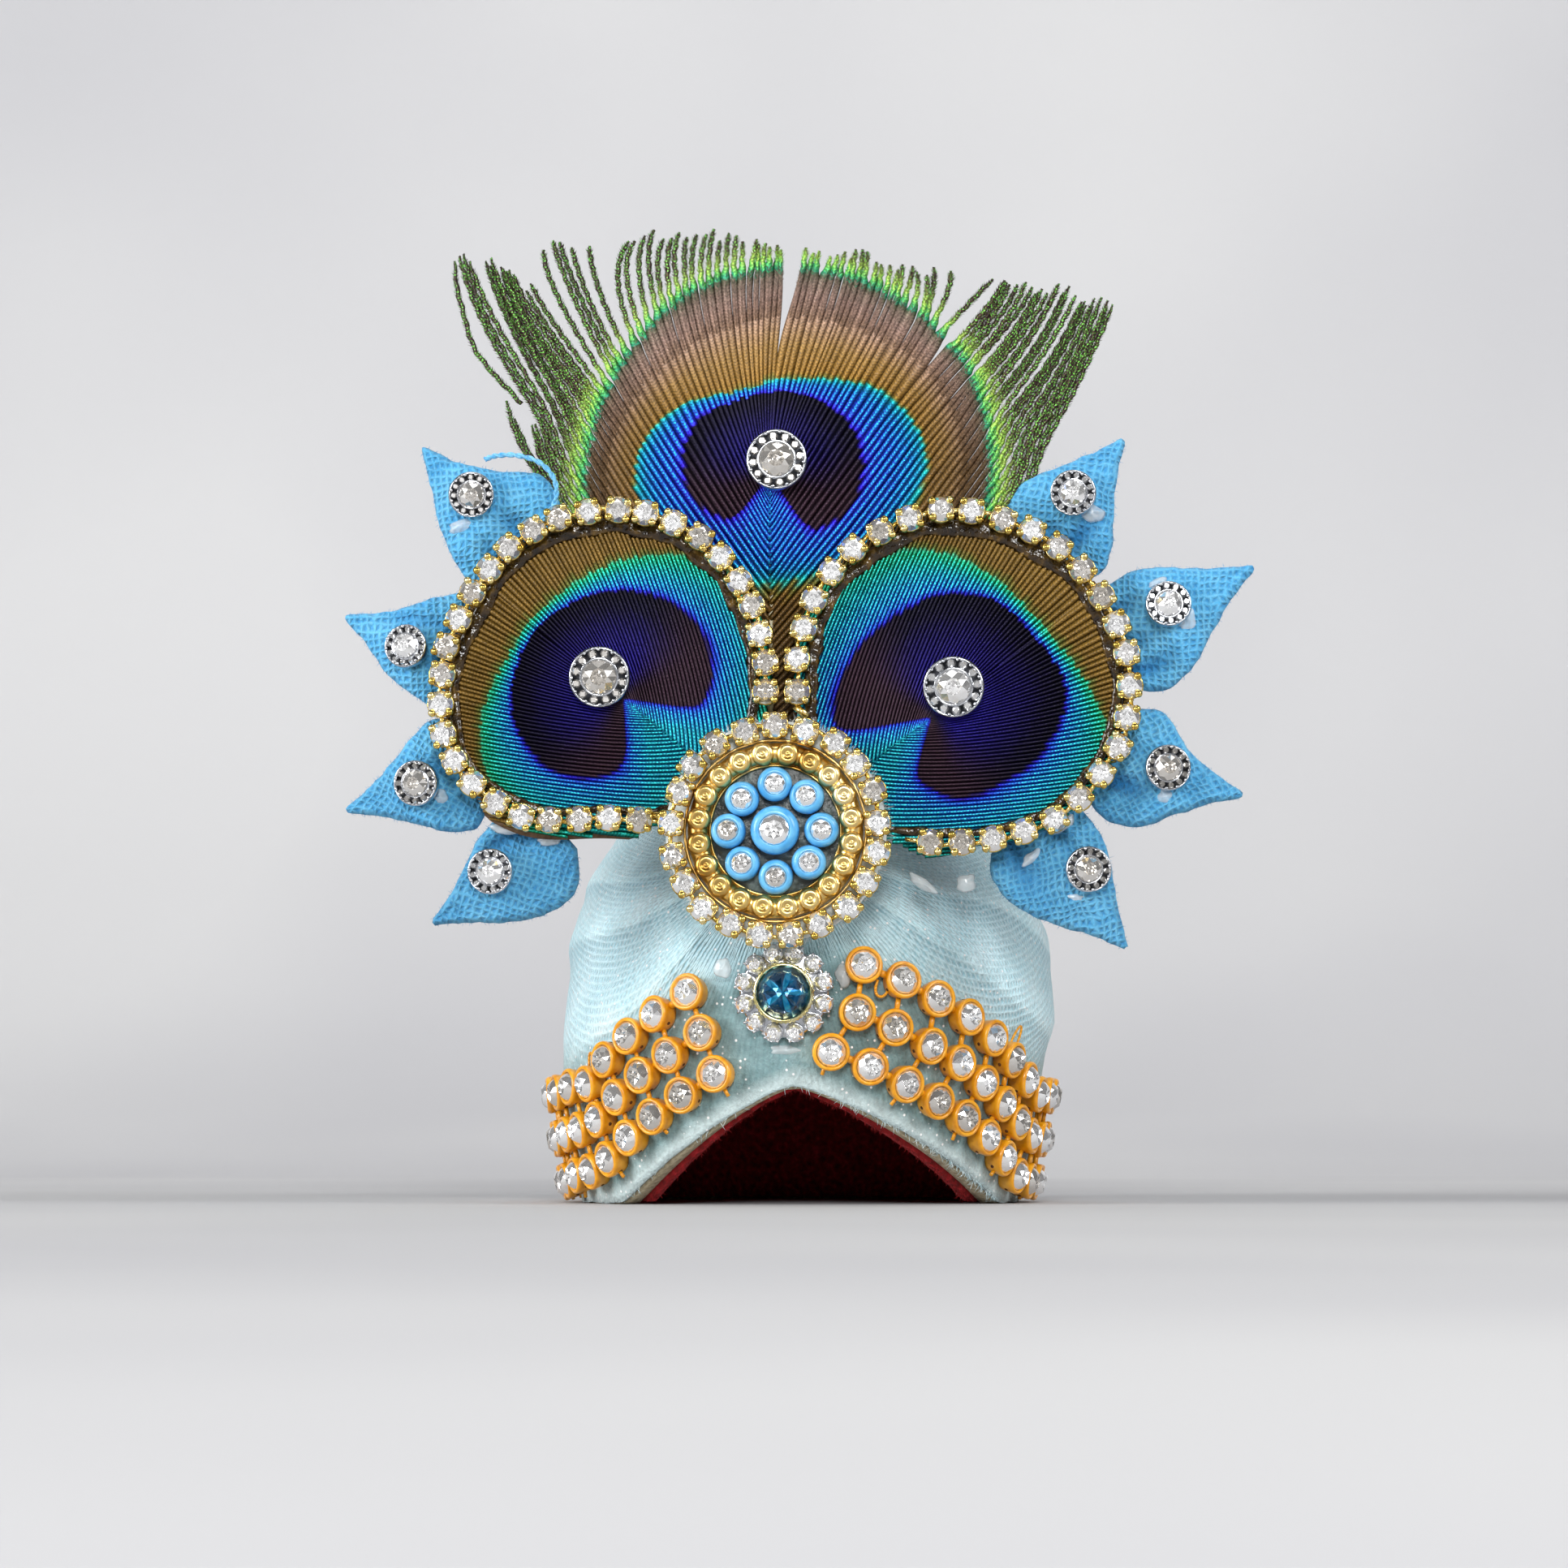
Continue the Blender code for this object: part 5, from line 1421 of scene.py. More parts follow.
# the real cloth has a thread every 0.45 mm; it is drawn a little coarser, so that its holes show
pull = add(tree, "TexNoise", (cloth, 0.35, 2.0), out="Color")
pulled = add(tree, "VectorMath", (pull, (1.3, 1.3, 0.0), cloth), operation="MULTIPLY_ADD")
bands = []
for direction in ("X", "Y"):
    wave = (pulled, MUSLIN_WAVES, 1.3, 1.0, 2.5)
    bands.append(add(tree, "TexWave", wave, out="Fac", bands_direction=direction))
open_x = add(tree, "Math", (1.0, bands[0]), operation="SUBTRACT")
open_y = add(tree, "Math", (1.0, bands[1]), operation="SUBTRACT")
open_both = add(tree, "Math", (open_x, open_y), operation="MULTIPLY")
hole = add(tree, "MapRange", (open_both, 0.25, 0.85, 0.0, 0.7))
cloud = add(tree, "TexNoise", (place, 0.45, 3.0))
fuzz = add(tree, "TexNoise", (place, 5.0, 2.0))
blue = add(tree, "ValToRGB", (cloud,), stops=[(0.3, "#3E9ACF"), (0.5, "#50AADB"), (0.72, "#6ABBE4")])
threads = add(tree, "MapRange", (fuzz, 0.35, 0.7, 0.0, 0.45))
fuzzed = add(tree, "Mix", (threads, blue, linear("#82C5E8")), data_type="RGBA")
holed = add(tree, "Mix", (hole, fuzzed, linear("#2C86C6")), data_type="RGBA")
# painted shade in the gathers: they are a deeper blue where the cloth lies double and shades itself
gather_shade = add(tree, "Attribute", out="Fac", attribute_name="gather_shade")
gather_shaded = add(tree, "Mix", (gather_shade, holed, linear("#2B82BE")), data_type="RGBA")
# painted shade: the lower down a petal lies, the darker its blue, for the shade it hangs in
level = add(tree, "SeparateXYZ", (place,), out="Z")
level = add(tree, "MapRange", (level, 30.0, 42.0, 0.78, 1.0))
level = add(tree, "CombineColor", (level, level, level))
height_shaded = add(tree, "Mix", (1.0, gather_shaded, level), data_type="RGBA", blend_type="MULTIPLY")
feed(shader.inputs["Base Color"], height_shaded)
height = add(tree, "Math", (bands[0], bands[1]), operation="MAXIMUM")
height = add(tree, "Math", (fuzz, 0.5, height), operation="MULTIPLY_ADD")
feed(shader.inputs["Normal"], add(tree, "Bump", {"Height": height, "Distance": 0.00022, "Strength": 1.0}))

petal_hairs = []
for name, (outline, weave_turn, gathers) in PETALS.items():
    base_x, base_z, tip_x, tip_z, left_widths, right_widths = outline
    base = Vector((base_x, 0.0, base_z))
    along = Vector((tip_x, 0.0, tip_z)) - base
    length = along.length
    along.normalize()
    left_way = Vector((-along.z, 0.0, along.x))
    rows, lanes = PETAL_ROWS, PETAL_LANES
    seed = Vector((base_x, base_z, 0.0))
    points, uvs, gather_shading = [], [], []
    for row in range(rows + 1):
        share = PETAL_SECTIONS[0] + (PETAL_ENDS_AT - PETAL_SECTIONS[0]) * (row / rows)
        rise = float(np.interp(share, (*PETAL_SECTIONS, 1.0), (*PETAL_RISE, -0.05)))
        thick = float(np.interp(share, (*PETAL_SECTIONS, 1.0), (*PETAL_THICK, 0.85)))
        # its drawn-in base is rounded
        round_off = math.sqrt(1.0 - max((0.05 - share) / 0.33, 0.0) ** 2)
        wide = [petal_width(widths, share) * round_off for widths in (left_widths, right_widths)]
        turn = math.radians(weave_turn)

        def place_of(q):
            return base + along * (share * length) + left_way * (-q * (wide[0] if q < 0.0 else wide[1]))

        for lane in range(lanes + 1):
            q = -math.cos(math.pi * lane / lanes)
            q = 0.5 * (q + (2.0 * lane / lanes - 1.0))
            spot = place_of(q)
            half = wide[0] if q < 0.0 else wide[1]
            edge = (1.0 - abs(q)) * half
            puff = min(edge / max(0.30 * (wide[0] + wide[1]), 0.3), 1.0)
            fill = -0.05 + 1.05 * math.sqrt(1.0 - (1.0 - puff) ** 2)
            depth = PETAL_FRONT + rise - thick * (1.0 - fill) * 0.7
            before = depth
            for q_base, q_end, reach, deep, broad in gathers:
                step = (share - PETAL_SECTIONS[0]) / (reach - PETAL_SECTIONS[0])
                middle = q_base + (q_end - q_base) * step
                off = (q - middle) * half / (broad * (0.8 + 0.7 * step))
                ending = 1.0 - smooth(0.45, 1.0, step)
                depth -= 1.35 * deep * ending * math.exp(-off * off) * min(puff * 2.0, 1.0)
            # how deep the gathers lie here, for their painted shade
            gather_shading.append(min((before - depth) * 0.85 + 0.3 * smooth(0.15, -0.15, share), 1.0))
            depth += 0.22 * noise.noise(Vector((spot.x, spot.z, 0.0)) * 0.5 + seed) * min(puff * 2.0, 1.0)
            hem = math.exp(-(((edge - 0.55) / 0.28) ** 2)) * 0.16
            depth += hem
            wander = Vector((noise.noise(spot * 1.1 + seed), 0.0, noise.noise(spot * 1.1 - seed))) * 0.14
            spot = spot + wander * (1.0 - puff)
            points.append((spot.x, -depth, spot.z))
            u, v = share * length, q * half
            uvs.append((u * math.cos(turn) - v * math.sin(turn), u * math.sin(turn) + v * math.cos(turn)))
            if 0 < row < rows and lane in (0, lanes):
                way = left_way * (1.0 if lane == 0 else -1.0)
                petal_hairs.append((Vector((spot.x, -depth, spot.z)), way))
        for lane in range(PETAL_BACK_LANES):
            q = 0.94 - 1.88 * lane / (PETAL_BACK_LANES - 1)
            spot = place_of(q)
            points.append((spot.x, -(PETAL_FRONT + rise - thick), spot.z))
            uvs.append((share * length, q * 3.0))
            gather_shading.append(0.3)
    shape = solid(points, skin(rows + 1, lanes + 1 + PETAL_BACK_LANES))
    made = piece("petal_" + name, shape, [muslin], uvs, {"gather_shade": gather_shading})
    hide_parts("petal_" + name)

roots = []
for start, way in petal_hairs:
    for _ in range(2):
        reach = (way + scatter(0.9)).normalized() * draw.uniform(0.10, 0.38)
        roots.append((start - way * 0.05 + scatter(0.12), reach, scatter(0.10)))
fibres("petal_hairs", roots, muslin, 0.022)

# The loose thread over the upper left petal: two plies twisted.
THREAD_PATH = [
    (-27.4, 68.3), (-26.3, 68.6), (-24.4, 68.6), (-22.3, 67.9), (-21.0, 66.3), (-21.0, 64.3), (-22.2, 62.6)
]
places = []
for i in range(len(THREAD_PATH) - 1):
    four = [THREAD_PATH[min(max(i + k, 0), len(THREAD_PATH) - 1)] for k in (-1, 0, 1, 2)]
    for k in range(10):
        t = k / 10
        x, z = (curve(*values, t) for values in zip(*four))
        places.append(Vector((x, -(27.75 + 0.3 * math.sin((i + t) * 0.9)), z)))
plies = []
for ply in (0.0, math.pi):
    twisted = []
    for k, spot in enumerate(places):
        way = (places[min(k + 1, len(places) - 1)] - places[max(k - 1, 0)]).normalized()
        side = way.cross(Vector((0.0, 1.0, 0.0))).normalized()
        turn = 0.75 * k + ply
        twisted.append(spot + side * (0.12 * math.cos(turn)) + way.cross(side) * (0.12 * math.sin(turn)))
    plies.append(tapered(twisted, [0.15] * len(twisted), 6))
thread_cotton = grained(
    "cotton_thread_sky_blue", "#62B6E2", (4.0, 2.0), [(0.3, "#3F9AD0"), (0.7, "#8ACDEE")], roughness=0.9,
    Sheen_Weight=0.3,
)
piece("petal_thread", together(*plies), [thread_cotton])

# Chains
# Brass cup chain: small gilt cups linked by short bars, each with a cut stone held by four rounded prongs.
CHAIN_BACK = 28.75
CHAIN_END_DEPTH = 29.3
CHAIN_STONES = {"left": (-6.0, 285.5, 29), "right": (182.0, -99.0, 27)}
CHAIN_ENDS = [((-12.0, 35.5), (-10.5, 35.2)), ((1.2, 45.3), (2.3, 44.3))]
BROOCH_CHAIN_RADIUS = 9.5
BROOCH_CHAIN_STONES = 21
FRONT = (Vector((1.0, 0.0, 0.0)), Vector((0.0, 0.0, 1.0)), Vector((0.0, -1.0, 0.0)))

# Gilt brass: bright yellow metal, worn paler on its edges.
gilt = grained(
    "brass_gilt", "#D2B45C", (0.9, 3.0), [(0.3, "#AC8C3C"), (0.5, "#D6B964"), (0.7, "#F0DEA2")],
    bump=(0.00003, 0.5), metallic=1.0, roughness=0.26,
)

link = turned_shape([(0.95, -0.05), (1.12, 0.1), (1.25, 0.6), (1.25, 0.95), (1.16, 1.02), (1.0, 0.95)], 16)
link = together(link, cut_stone(1.17, 1.06, 0.58, 1, sides=7, table=0.62, dish=0.5))
for corner in range(4):
    turn = math.radians(45.0 + 90.0 * corner)
    prong = turned_shape(
        [(0.22, 0.2), (0.33, 0.9), (0.37, 1.25), (0.34, 1.42), (0.22, 1.56), (0.05, 1.62)], 10
    )
    link = together(link, moved(prong, aside(1.13, turn)))
bar = turned_shape([(0.26, -0.9), (0.26, 0.9)], 4, start=0.5)
bar = moved(bar, Matrix.Translation((1.39, 0.0, 0.45)) @ Matrix.Rotation(math.radians(90.0), 4, "Y"))


def chain_matrices(spots, depth):
    """Seats of chain stones at places (x, z), each turned along the chain."""
    matrices = []
    for k, spot in enumerate(spots):
        after = spots[min(k + 1, len(spots) - 1)]
        before = spots[max(k - 1, 0)]
        turn = math.atan2(after[1] - before[1], after[0] - before[0])
        tilt = (draw.gauss(0.0, 0.07), draw.gauss(0.0, 0.07))
        centre = Vector((spot[0], -depth, spot[1]))
        matrices.append(seat_matrix(centre, *FRONT, turn + draw.gauss(0.0, 0.06), tilt))
    return matrices


linked = together(link, bar)
for side_name, (first, last, count) in CHAIN_STONES.items():
    track = [eye_place(side_name, first + (last - first) * k / 400) for k in range(401)]
    matrices = chain_matrices(resampled(track, count - 1), CHAIN_BACK)
    made = repeated("chain_%s_links" % side_name, linked, matrices, [gilt, crystal])
    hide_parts("chain_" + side_name)
bars = []
for (x, z), (end_x, end_z) in CHAIN_ENDS:
    start, end = Vector((x, -CHAIN_END_DEPTH, z)), Vector((end_x, -CHAIN_END_DEPTH, end_z))
    bars.append(rod(start, end, 0.42, 4))
piece("chain_end_bars", together(*bars), [gilt])

# Studs
# Silvered plastic studs glued on: a cut stone in the middle and a ring of small facets round it.
STUDS = {
    # x, z, radius, height, depth of the seat, tilt in degrees
    "petal_stud_left_1": (-28.6, 65.0, 2.1, 1.5, 28.15, (8.0, 6.0)),
    "petal_stud_left_2": (-34.4, 51.0, 2.0, 1.5, 28.15, (-4.0, -10.0)),
    "petal_stud_left_3": (-33.4, 38.5, 2.1, 1.5, 28.15, (3.0, -12.0)),
    "petal_stud_left_4": (-26.6, 30.4, 2.1, 1.5, 28.15, (2.0, -6.0)),
    "petal_stud_right_1": (26.5, 64.7, 2.1, 1.5, 28.15, (5.0, -4.0)),
    "petal_stud_right_2": (35.0, 54.4, 2.1, 1.5, 28.15, (-6.0, 4.0)),
    "petal_stud_right_3": (34.8, 39.6, 2.1, 1.5, 28.15, (2.0, 12.0)),
    "petal_stud_right_4": (27.6, 30.4, 2.1, 1.5, 28.15, (0.0, 10.0)),
    "eye_stud_left": (-16.7, 48.1, 2.8, 1.8, 28.7, (5.0, 2.0)),
    "eye_stud_right": (15.6, 47.0, 2.8, 1.8, 28.7, (4.0, -2.0)),
    "eye_stud_top": (-0.6, 68.0, 2.8, 1.8, 27.4, (-1.0, 1.0)),
}

# Silvered acrylic: a soft mirror, greyer on the wall of the stud.
silvered = grained(
    "acrylic_silvered", "#C9CBD0", (1.5, 3.0), [(0.3, "#A9ACB2"), (0.7, "#E2E4E8")], bump=(0.00004, 0.6),
    metallic=1.0, roughness=0.22,
)

# Painted shade: a dark ring at the foot of the small facets, standing for the shade and dark reflections in
# the gaps between them.
painted_gap_shade = grained(
    "stud_gap_painted_shade", "#2A2C30", (1.2, 2.0), [(0.35, "#232428"), (0.7, "#54565C")], metallic=0.5,
    roughness=0.35,
)


def stud_shape(radius, height):
    """A stud on its seat, its foot sunk a little into the cloth or feather behind."""
    rim = height * 0.62
    body = turned_shape(
        [
            (radius * 0.88, -0.5), (radius * 0.97, -0.1), (radius, 0.2), (radius, rim * 0.75),
            (radius * 0.96, rim - 0.02), (radius * 0.92, rim - 0.02), (radius * 0.90, rim - 0.40),
            (radius * 0.64, rim - 0.40), (radius * 0.62, rim + 0.04), (radius * 0.57, rim - 0.1),
        ],
        40,
    )
    # a dark ring of painted shade under the small facets
    gap_shade_ring = turned_shape([(radius * 0.895, rim - 0.42), (radius * 0.895, rim - 0.34)], 40, part=2)
    shapes = [body, gap_shade_ring, cut_stone(radius * 0.58, rim - 0.02, height * 0.40, 1, sides=8, table=0.5)]
    for k in range(12):
        turn = 2.0 * math.pi * k / 12
        bit = cut_stone(radius * 0.155, 0.0, 0.46, 1, sides=4, table=0.66, dish=0.0)
        shapes.append(moved(bit, aside(radius * 0.77, turn, rim - 0.32)))
        turn += math.pi / 12
        bead = turned_shape([(0.15, -0.4), (0.17, 0.10), (0.09, 0.22)], 6)
        shapes.append(moved(bead, aside(radius * 0.90, turn, rim - 0.02)))
    return together(*shapes)


for name, (x, z, radius, height, seat, tilt) in STUDS.items():
    tilt = [math.radians(angle) for angle in tilt]
    matrix = seat_matrix(Vector((x, -seat, z)), *FRONT, draw.uniform(0.0, 1.0), tilt)
    made = repeated(
        name + "_cut", stud_shape(radius, height), [matrix], [silvered, crystal, painted_gap_shade]
    )
    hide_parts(name)

# Brooch
# A round felt base glued to the front: a ring of cup chain outside, a ring of gold plastic beads inside it,
# and a flower of nine sky blue cups, each with a cut stone, on a dark ground.
BROOCH_SEAT = 30.1
BROOCH_BASE_RADIUS = 10.0
BROOCH_PAD = (-0.55, 30.4, 5.8)
BROOCH_HAIRS = 700
BEADS = 20
BEAD_RING_RADIUS = 7.0
FLOWER_RADIUS = 4.18
FLOWER_CUPS = 8


def cap_depth(x, z):
    """The depth of the cap's wall in front, at a place across and up."""
    return -wall_point(azimuth_at(x, 89.0, lambda azimuth: wall_point(azimuth, z, 0.0)), z, 0.0).y


# White felt with a grey cast, seen as fuzz round the brooch's edge.
white_felt = grained(
    "felt_white_pressed", "#D5DCDA", (1.8, 5.0), [(0.3, "#B4BFBE"), (0.7, "#EEF1EF")], bump=(0.0002, 0.8),
    roughness=0.97, Sheen_Weight=0.3,
)

# The ground of the brooch, dark with dried glue.
ground_finish = grained(
    "felt_dark_glued", "#2C3632", (0.9, 4.0), [(0.3, "#141A1A"), (0.55, "#3C4744"), (0.75, "#6E7C79")],
    bump=(0.0003, 0.9), roughness=0.35,
)

brooch_place = seat_matrix(Vector((BROOCH_X, -BROOCH_SEAT, BROOCH_Z)), *FRONT)
base_profile = [
    (BROOCH_BASE_RADIUS - 0.25, -1.4), (BROOCH_BASE_RADIUS, -1.15), (BROOCH_BASE_RADIUS + 0.05, -0.7),
    (BROOCH_BASE_RADIUS - 0.2, -0.35),
]
felt_disc = moved(turned_shape(base_profile, 72), brooch_place)
inner_disc = moved(turned_shape([(7.1, -0.5), (7.1, -0.05), (6.9, 0.02)], 64, part=1), brooch_place)
PAD_SIDES = 40
pad_x, pad_z, pad_radius = BROOCH_PAD
points, faces = [], []
for front in (1, 0):
    for k in range(PAD_SIDES):
        turn = 2.0 * math.pi * k / PAD_SIDES
        x, z = pad_x + pad_radius * math.cos(turn), pad_z + pad_radius * math.sin(turn)
        points.append((x, -(BROOCH_SEAT - 1.2 if front else cap_depth(x, z) + 0.1), z))
for k in range(PAD_SIDES):
    j = (k + 1) % PAD_SIDES
    faces.append((j, k, PAD_SIDES + k, PAD_SIDES + j))
faces.append(tuple(range(PAD_SIDES)))
points.append((pad_x, -(cap_depth(pad_x, pad_z) + 0.1), pad_z))
for k in range(PAD_SIDES):
    faces.append((PAD_SIDES + (k + 1) % PAD_SIDES, PAD_SIDES + k, 2 * PAD_SIDES))
shape = together(felt_disc, inner_disc, solid(points, faces))
brooch_base = piece("brooch_ground", shape, [white_felt, ground_finish])
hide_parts("brooch_base")

roots = []
for _ in range(BROOCH_HAIRS):
    turn = draw.uniform(0.0, 2.0 * math.pi)
    out = Vector((math.cos(turn), 0.0, math.sin(turn)))
    middle = Vector((BROOCH_X, -(BROOCH_SEAT - draw.uniform(0.6, 1.4)), BROOCH_Z))
    start = middle + out * (BROOCH_BASE_RADIUS - 0.05)
    roots.append((start, (out + scatter(0.8)).normalized() * draw.uniform(0.3, 1.0), scatter(0.3)))
fibres("brooch_fuzz", roots, white_felt, 0.03)


def brooch_spot(radius, turn):
    """A place on the brooch, at a radius and turn about its middle."""
    return Vector((BROOCH_X + radius * math.cos(turn), -BROOCH_SEAT, BROOCH_Z + radius * math.sin(turn)))


reaches = [BROOCH_CHAIN_RADIUS + draw.uniform(-0.12, 0.12) for _ in range(BROOCH_CHAIN_STONES)]
matrices = []
for k, reach in enumerate(reaches):
    turn = 2.0 * math.pi * (k + 0.25) / BROOCH_CHAIN_STONES
    tilt = (draw.gauss(0.0, 0.08), draw.gauss(0.0, 0.08))
    spot = brooch_spot(reach, turn)
    spot.y = -(BROOCH_SEAT + 0.02)
    matrices.append(seat_matrix(spot, *FRONT, turn + 0.5 * math.pi, tilt))
brooch_chain = repeated("brooch_chain_links", linked, matrices, [gilt, crystal])
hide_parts("brooch_chain")

# Gold plastic beads, half round with a dimple in the middle of each, and thin gold wires along them.
bead_gold = grained(
    "plastic_metallized_gold", "#DDB658", (0.16, 3.0),
    [(0.34, "#AE843E"), (0.44, "#E0BE72"), (0.7, "#F4DEA4")], bump=(0.00002, 0.3), metallic=1.0,
    roughness=0.3,
)
bead = turned_shape(
    [
        (0.98, -0.15), (1.10, 0.25), (1.13, 0.65), (1.06, 1.00), (0.90, 1.24), (0.68, 1.36), (0.48, 1.34),
        (0.34, 1.20), (0.24, 1.12), (0.15, 1.20), (0.04, 1.26),
    ],
    20,
)
matrices = []
for k in range(BEADS):
    turn = 2.0 * math.pi * (k + 0.5) / BEADS
    tilt = (draw.gauss(0.0, 0.03), draw.gauss(0.0, 0.03))
    matrices.append(seat_matrix(brooch_spot(BEAD_RING_RADIUS, turn), *FRONT, turn, tilt))
brooch_beads = repeated("brooch_beads", bead, matrices, [bead_gold])
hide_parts("brooch_bead_ring")


def hoop(radius, height, thick, sides=96, section=8):
    """A thin round wire ring about its own Z."""
    points, faces = [], []
    for k in range(sides):
        turn = 2.0 * math.pi * k / sides
        for m in range(section):
            bend = 2.0 * math.pi * m / section
            reach = radius + thick * math.cos(bend)
            points.append((reach * math.cos(turn), reach * math.sin(turn), height + thick * math.sin(bend)))
    for k in range(sides):
        for m in range(section):
            a, b = k * section, ((k + 1) % sides) * section
            n = (m + 1) % section
            faces.append((a + m, b + m, b + n, a + n))
    return solid(points, faces)


wires = together(hoop(8.22, 0.20, 0.13), hoop(7.0, 0.10, 0.98, 96, 12), hoop(5.92, 0.20, 0.12))
piece("brooch_wires", moved(wires, brooch_place), [bead_gold])

# Sky blue moulded cups, satin, with a cut stone sunk in the middle of each.
sky_plastic = grained(
    "styrene_moulded_sky_blue", "#58AEE0", (0.9, 3.0), [(0.3, "#4299D2"), (0.7, "#6FBEEA")],
    bump=(0.00004, 0.5), roughness=0.32, Coat_Weight=0.3, Coat_Roughness=0.2,
)


def flower_cup(radius, height, stone):
    """A cup of the brooch's flower, with the cut stone that is sunk in it."""
    body = turned_shape(
        [
            (radius * 0.86, -0.2), (radius * 0.97, 0.1), (radius, height * 0.35),
            (radius * 0.99, height * 0.58), (radius * 0.94, height * 0.76), (radius * 0.84, height * 0.89),
            (stone + 0.12, height * 0.95), (stone + 0.04, height * 0.93), (stone, height * 0.80),
        ],
        32,
    )
    return together(body, cut_stone(stone, height * 0.90, 0.34, 1, sides=8, table=0.62, dish=0.5))


flower_finishes = [sky_plastic, crystal]
for k in range(FLOWER_CUPS):
    spot = brooch_spot(FLOWER_RADIUS, 2.0 * math.pi * (k + 0.02) / FLOWER_CUPS)
    spin = draw.uniform(0.0, 1.0)
    matrix = seat_matrix(spot, *FRONT, spin, (draw.gauss(0.0, 0.04), draw.gauss(0.0, 0.04)))
    name = "flower_cup_%d" % (k + 1)
    made = repeated(name, flower_cup(1.58, 1.9, 0.98), [matrix], flower_finishes)
    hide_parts("flower_stone_%d" % (k + 1))
shape = flower_cup(2.22, 2.3, 1.38)
made = repeated("flower_cup_centre", shape, [brooch_place], flower_finishes)
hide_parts("flower_center_stone")

# Pendant
# A drop of pale gilt metal under the brooch: a dark blue glass stone in a milled collar, and twelve small
# clear stones round it, each in a claw setting.
PENDANT_X, PENDANT_Z = 0.05, 19.3
PENDANT_BACK = 26.8
pale_gilt = grained(
    "brass_gilt_pale", "#E0D070", (1.1, 3.0), [(0.3, "#CCBC70"), (0.7, "#F6EFC2")], metallic=1.0,
    roughness=0.2,
)
pendant_place = seat_matrix(Vector((PENDANT_X, -PENDANT_BACK, PENDANT_Z)), *FRONT)

shapes = [turned_shape([(3.9, -0.2), (4.05, 0.1), (4.05, 0.45), (3.8, 0.6)], 48, part=2)]
for k in range(12):
    turn = 2.0 * math.pi * (k + 0.5) / 12
    cup = turned_shape([(0.72, 0.0), (0.86, 0.3), (0.90, 0.85), (0.84, 0.95), (0.78, 0.85)], 14, part=2)
    stone = cut_stone(0.84, 0.88, 0.46, 1, sides=6)
    spot = aside(3.72, turn) @ Matrix.Rotation(draw.uniform(0.0, 1.0), 4, "Z")
    shapes += [moved(cup, spot), moved(stone, spot)]
    for claw in (-0.62, 0.62):
        bead = turned_shape([(0.10, 0.6), (0.17, 1.0), (0.16, 1.25), (0.06, 1.38)], 6, part=2)
        shapes.append(moved(bead, aside(4.42, turn + claw * 0.22)))
COLLAR_TEETH = 44
COLLAR = [
    # radius, height, how deep the teeth are there
    (2.62, 0.3, 0.0), (2.78, 1.0, 0.05), (2.78, 1.65, 0.07), (2.60, 1.92, 0.03), (2.40, 1.86, 0.0),
    (2.34, 1.5, 0.0),
]
points = []
for reach, height, tooth in COLLAR:
    for k in range(2 * COLLAR_TEETH):
        turn = math.pi * k / COLLAR_TEETH
        out = reach + (tooth if k % 2 else -tooth)
        points.append((out * math.cos(turn), out * math.sin(turn), height))
shapes.append(solid(points, skin(len(COLLAR), 2 * COLLAR_TEETH)))
shape = moved(together(*shapes), pendant_place)
tones = {"tone": [0.6] * len(shape[0])}
made = piece("pendant_claws", shape, [pale_gilt, crystal, silvered], fields=tones)
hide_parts("pendant_setting")

# Deep blue glass, foiled behind, so that some facets flash turquoise out of the dark.
STAR_ARMS = 5
STAR_REACH = 2.2
blue_glass, tree, shader = finish_of(
    "glass_foiled_deep_blue", "#0A5E8A", metallic=0.6, roughness=0.14, Coat_Weight=0.6, Coat_Roughness=0.04
)
grain = add(tree, "TexNoise", (in_millimetres(tree), 0.8, 1.0))
tone = add(tree, "ValToRGB", (grain,), stops=[(0.35, "#05324F"), (0.55, "#084C74"), (0.72, "#12709A")])
# a painted reflection: its back facets, seen through it, make a bright star
middle = Vector((PENDANT_X, 0.0, PENDANT_Z)) + Vector(AXIS) / MM
away = add(tree, "VectorMath", (in_millimetres(tree), middle), operation="SUBTRACT")
away = add(tree, "VectorMath", (away, (1.0, 0.0, 1.0)), operation="MULTIPLY")
far = add(tree, "VectorMath", (away,), operation="LENGTH")
apart = add(tree, "SeparateXYZ", (away,)).outputs
turn = add(tree, "Math", (apart["Z"], apart["X"]), operation="ARCTAN2")
turn = add(tree, "Math", (turn, STAR_ARMS, 0.5 * math.pi), operation="MULTIPLY_ADD")
arms = add(tree, "Math", (turn,), operation="SINE")
arms = add(tree, "Math", (far, -1.4 / STAR_REACH, arms), operation="MULTIPLY_ADD")
star = add(tree, "MapRange", (arms, -0.45, -0.15, 0.0, 0.85))
starred = add(tree, "Mix", (star, tone, linear("#2498C6")), data_type="RGBA")
feed(shader.inputs["Base Color"], starred)
stone = cut_stone(2.36, 1.55, 1.3, 0, sides=8, table=0.72, dish=0.35)
made = repeated("pendant_glass_cut", stone, [pendant_place], [blue_glass])
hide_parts("pendant_stone")

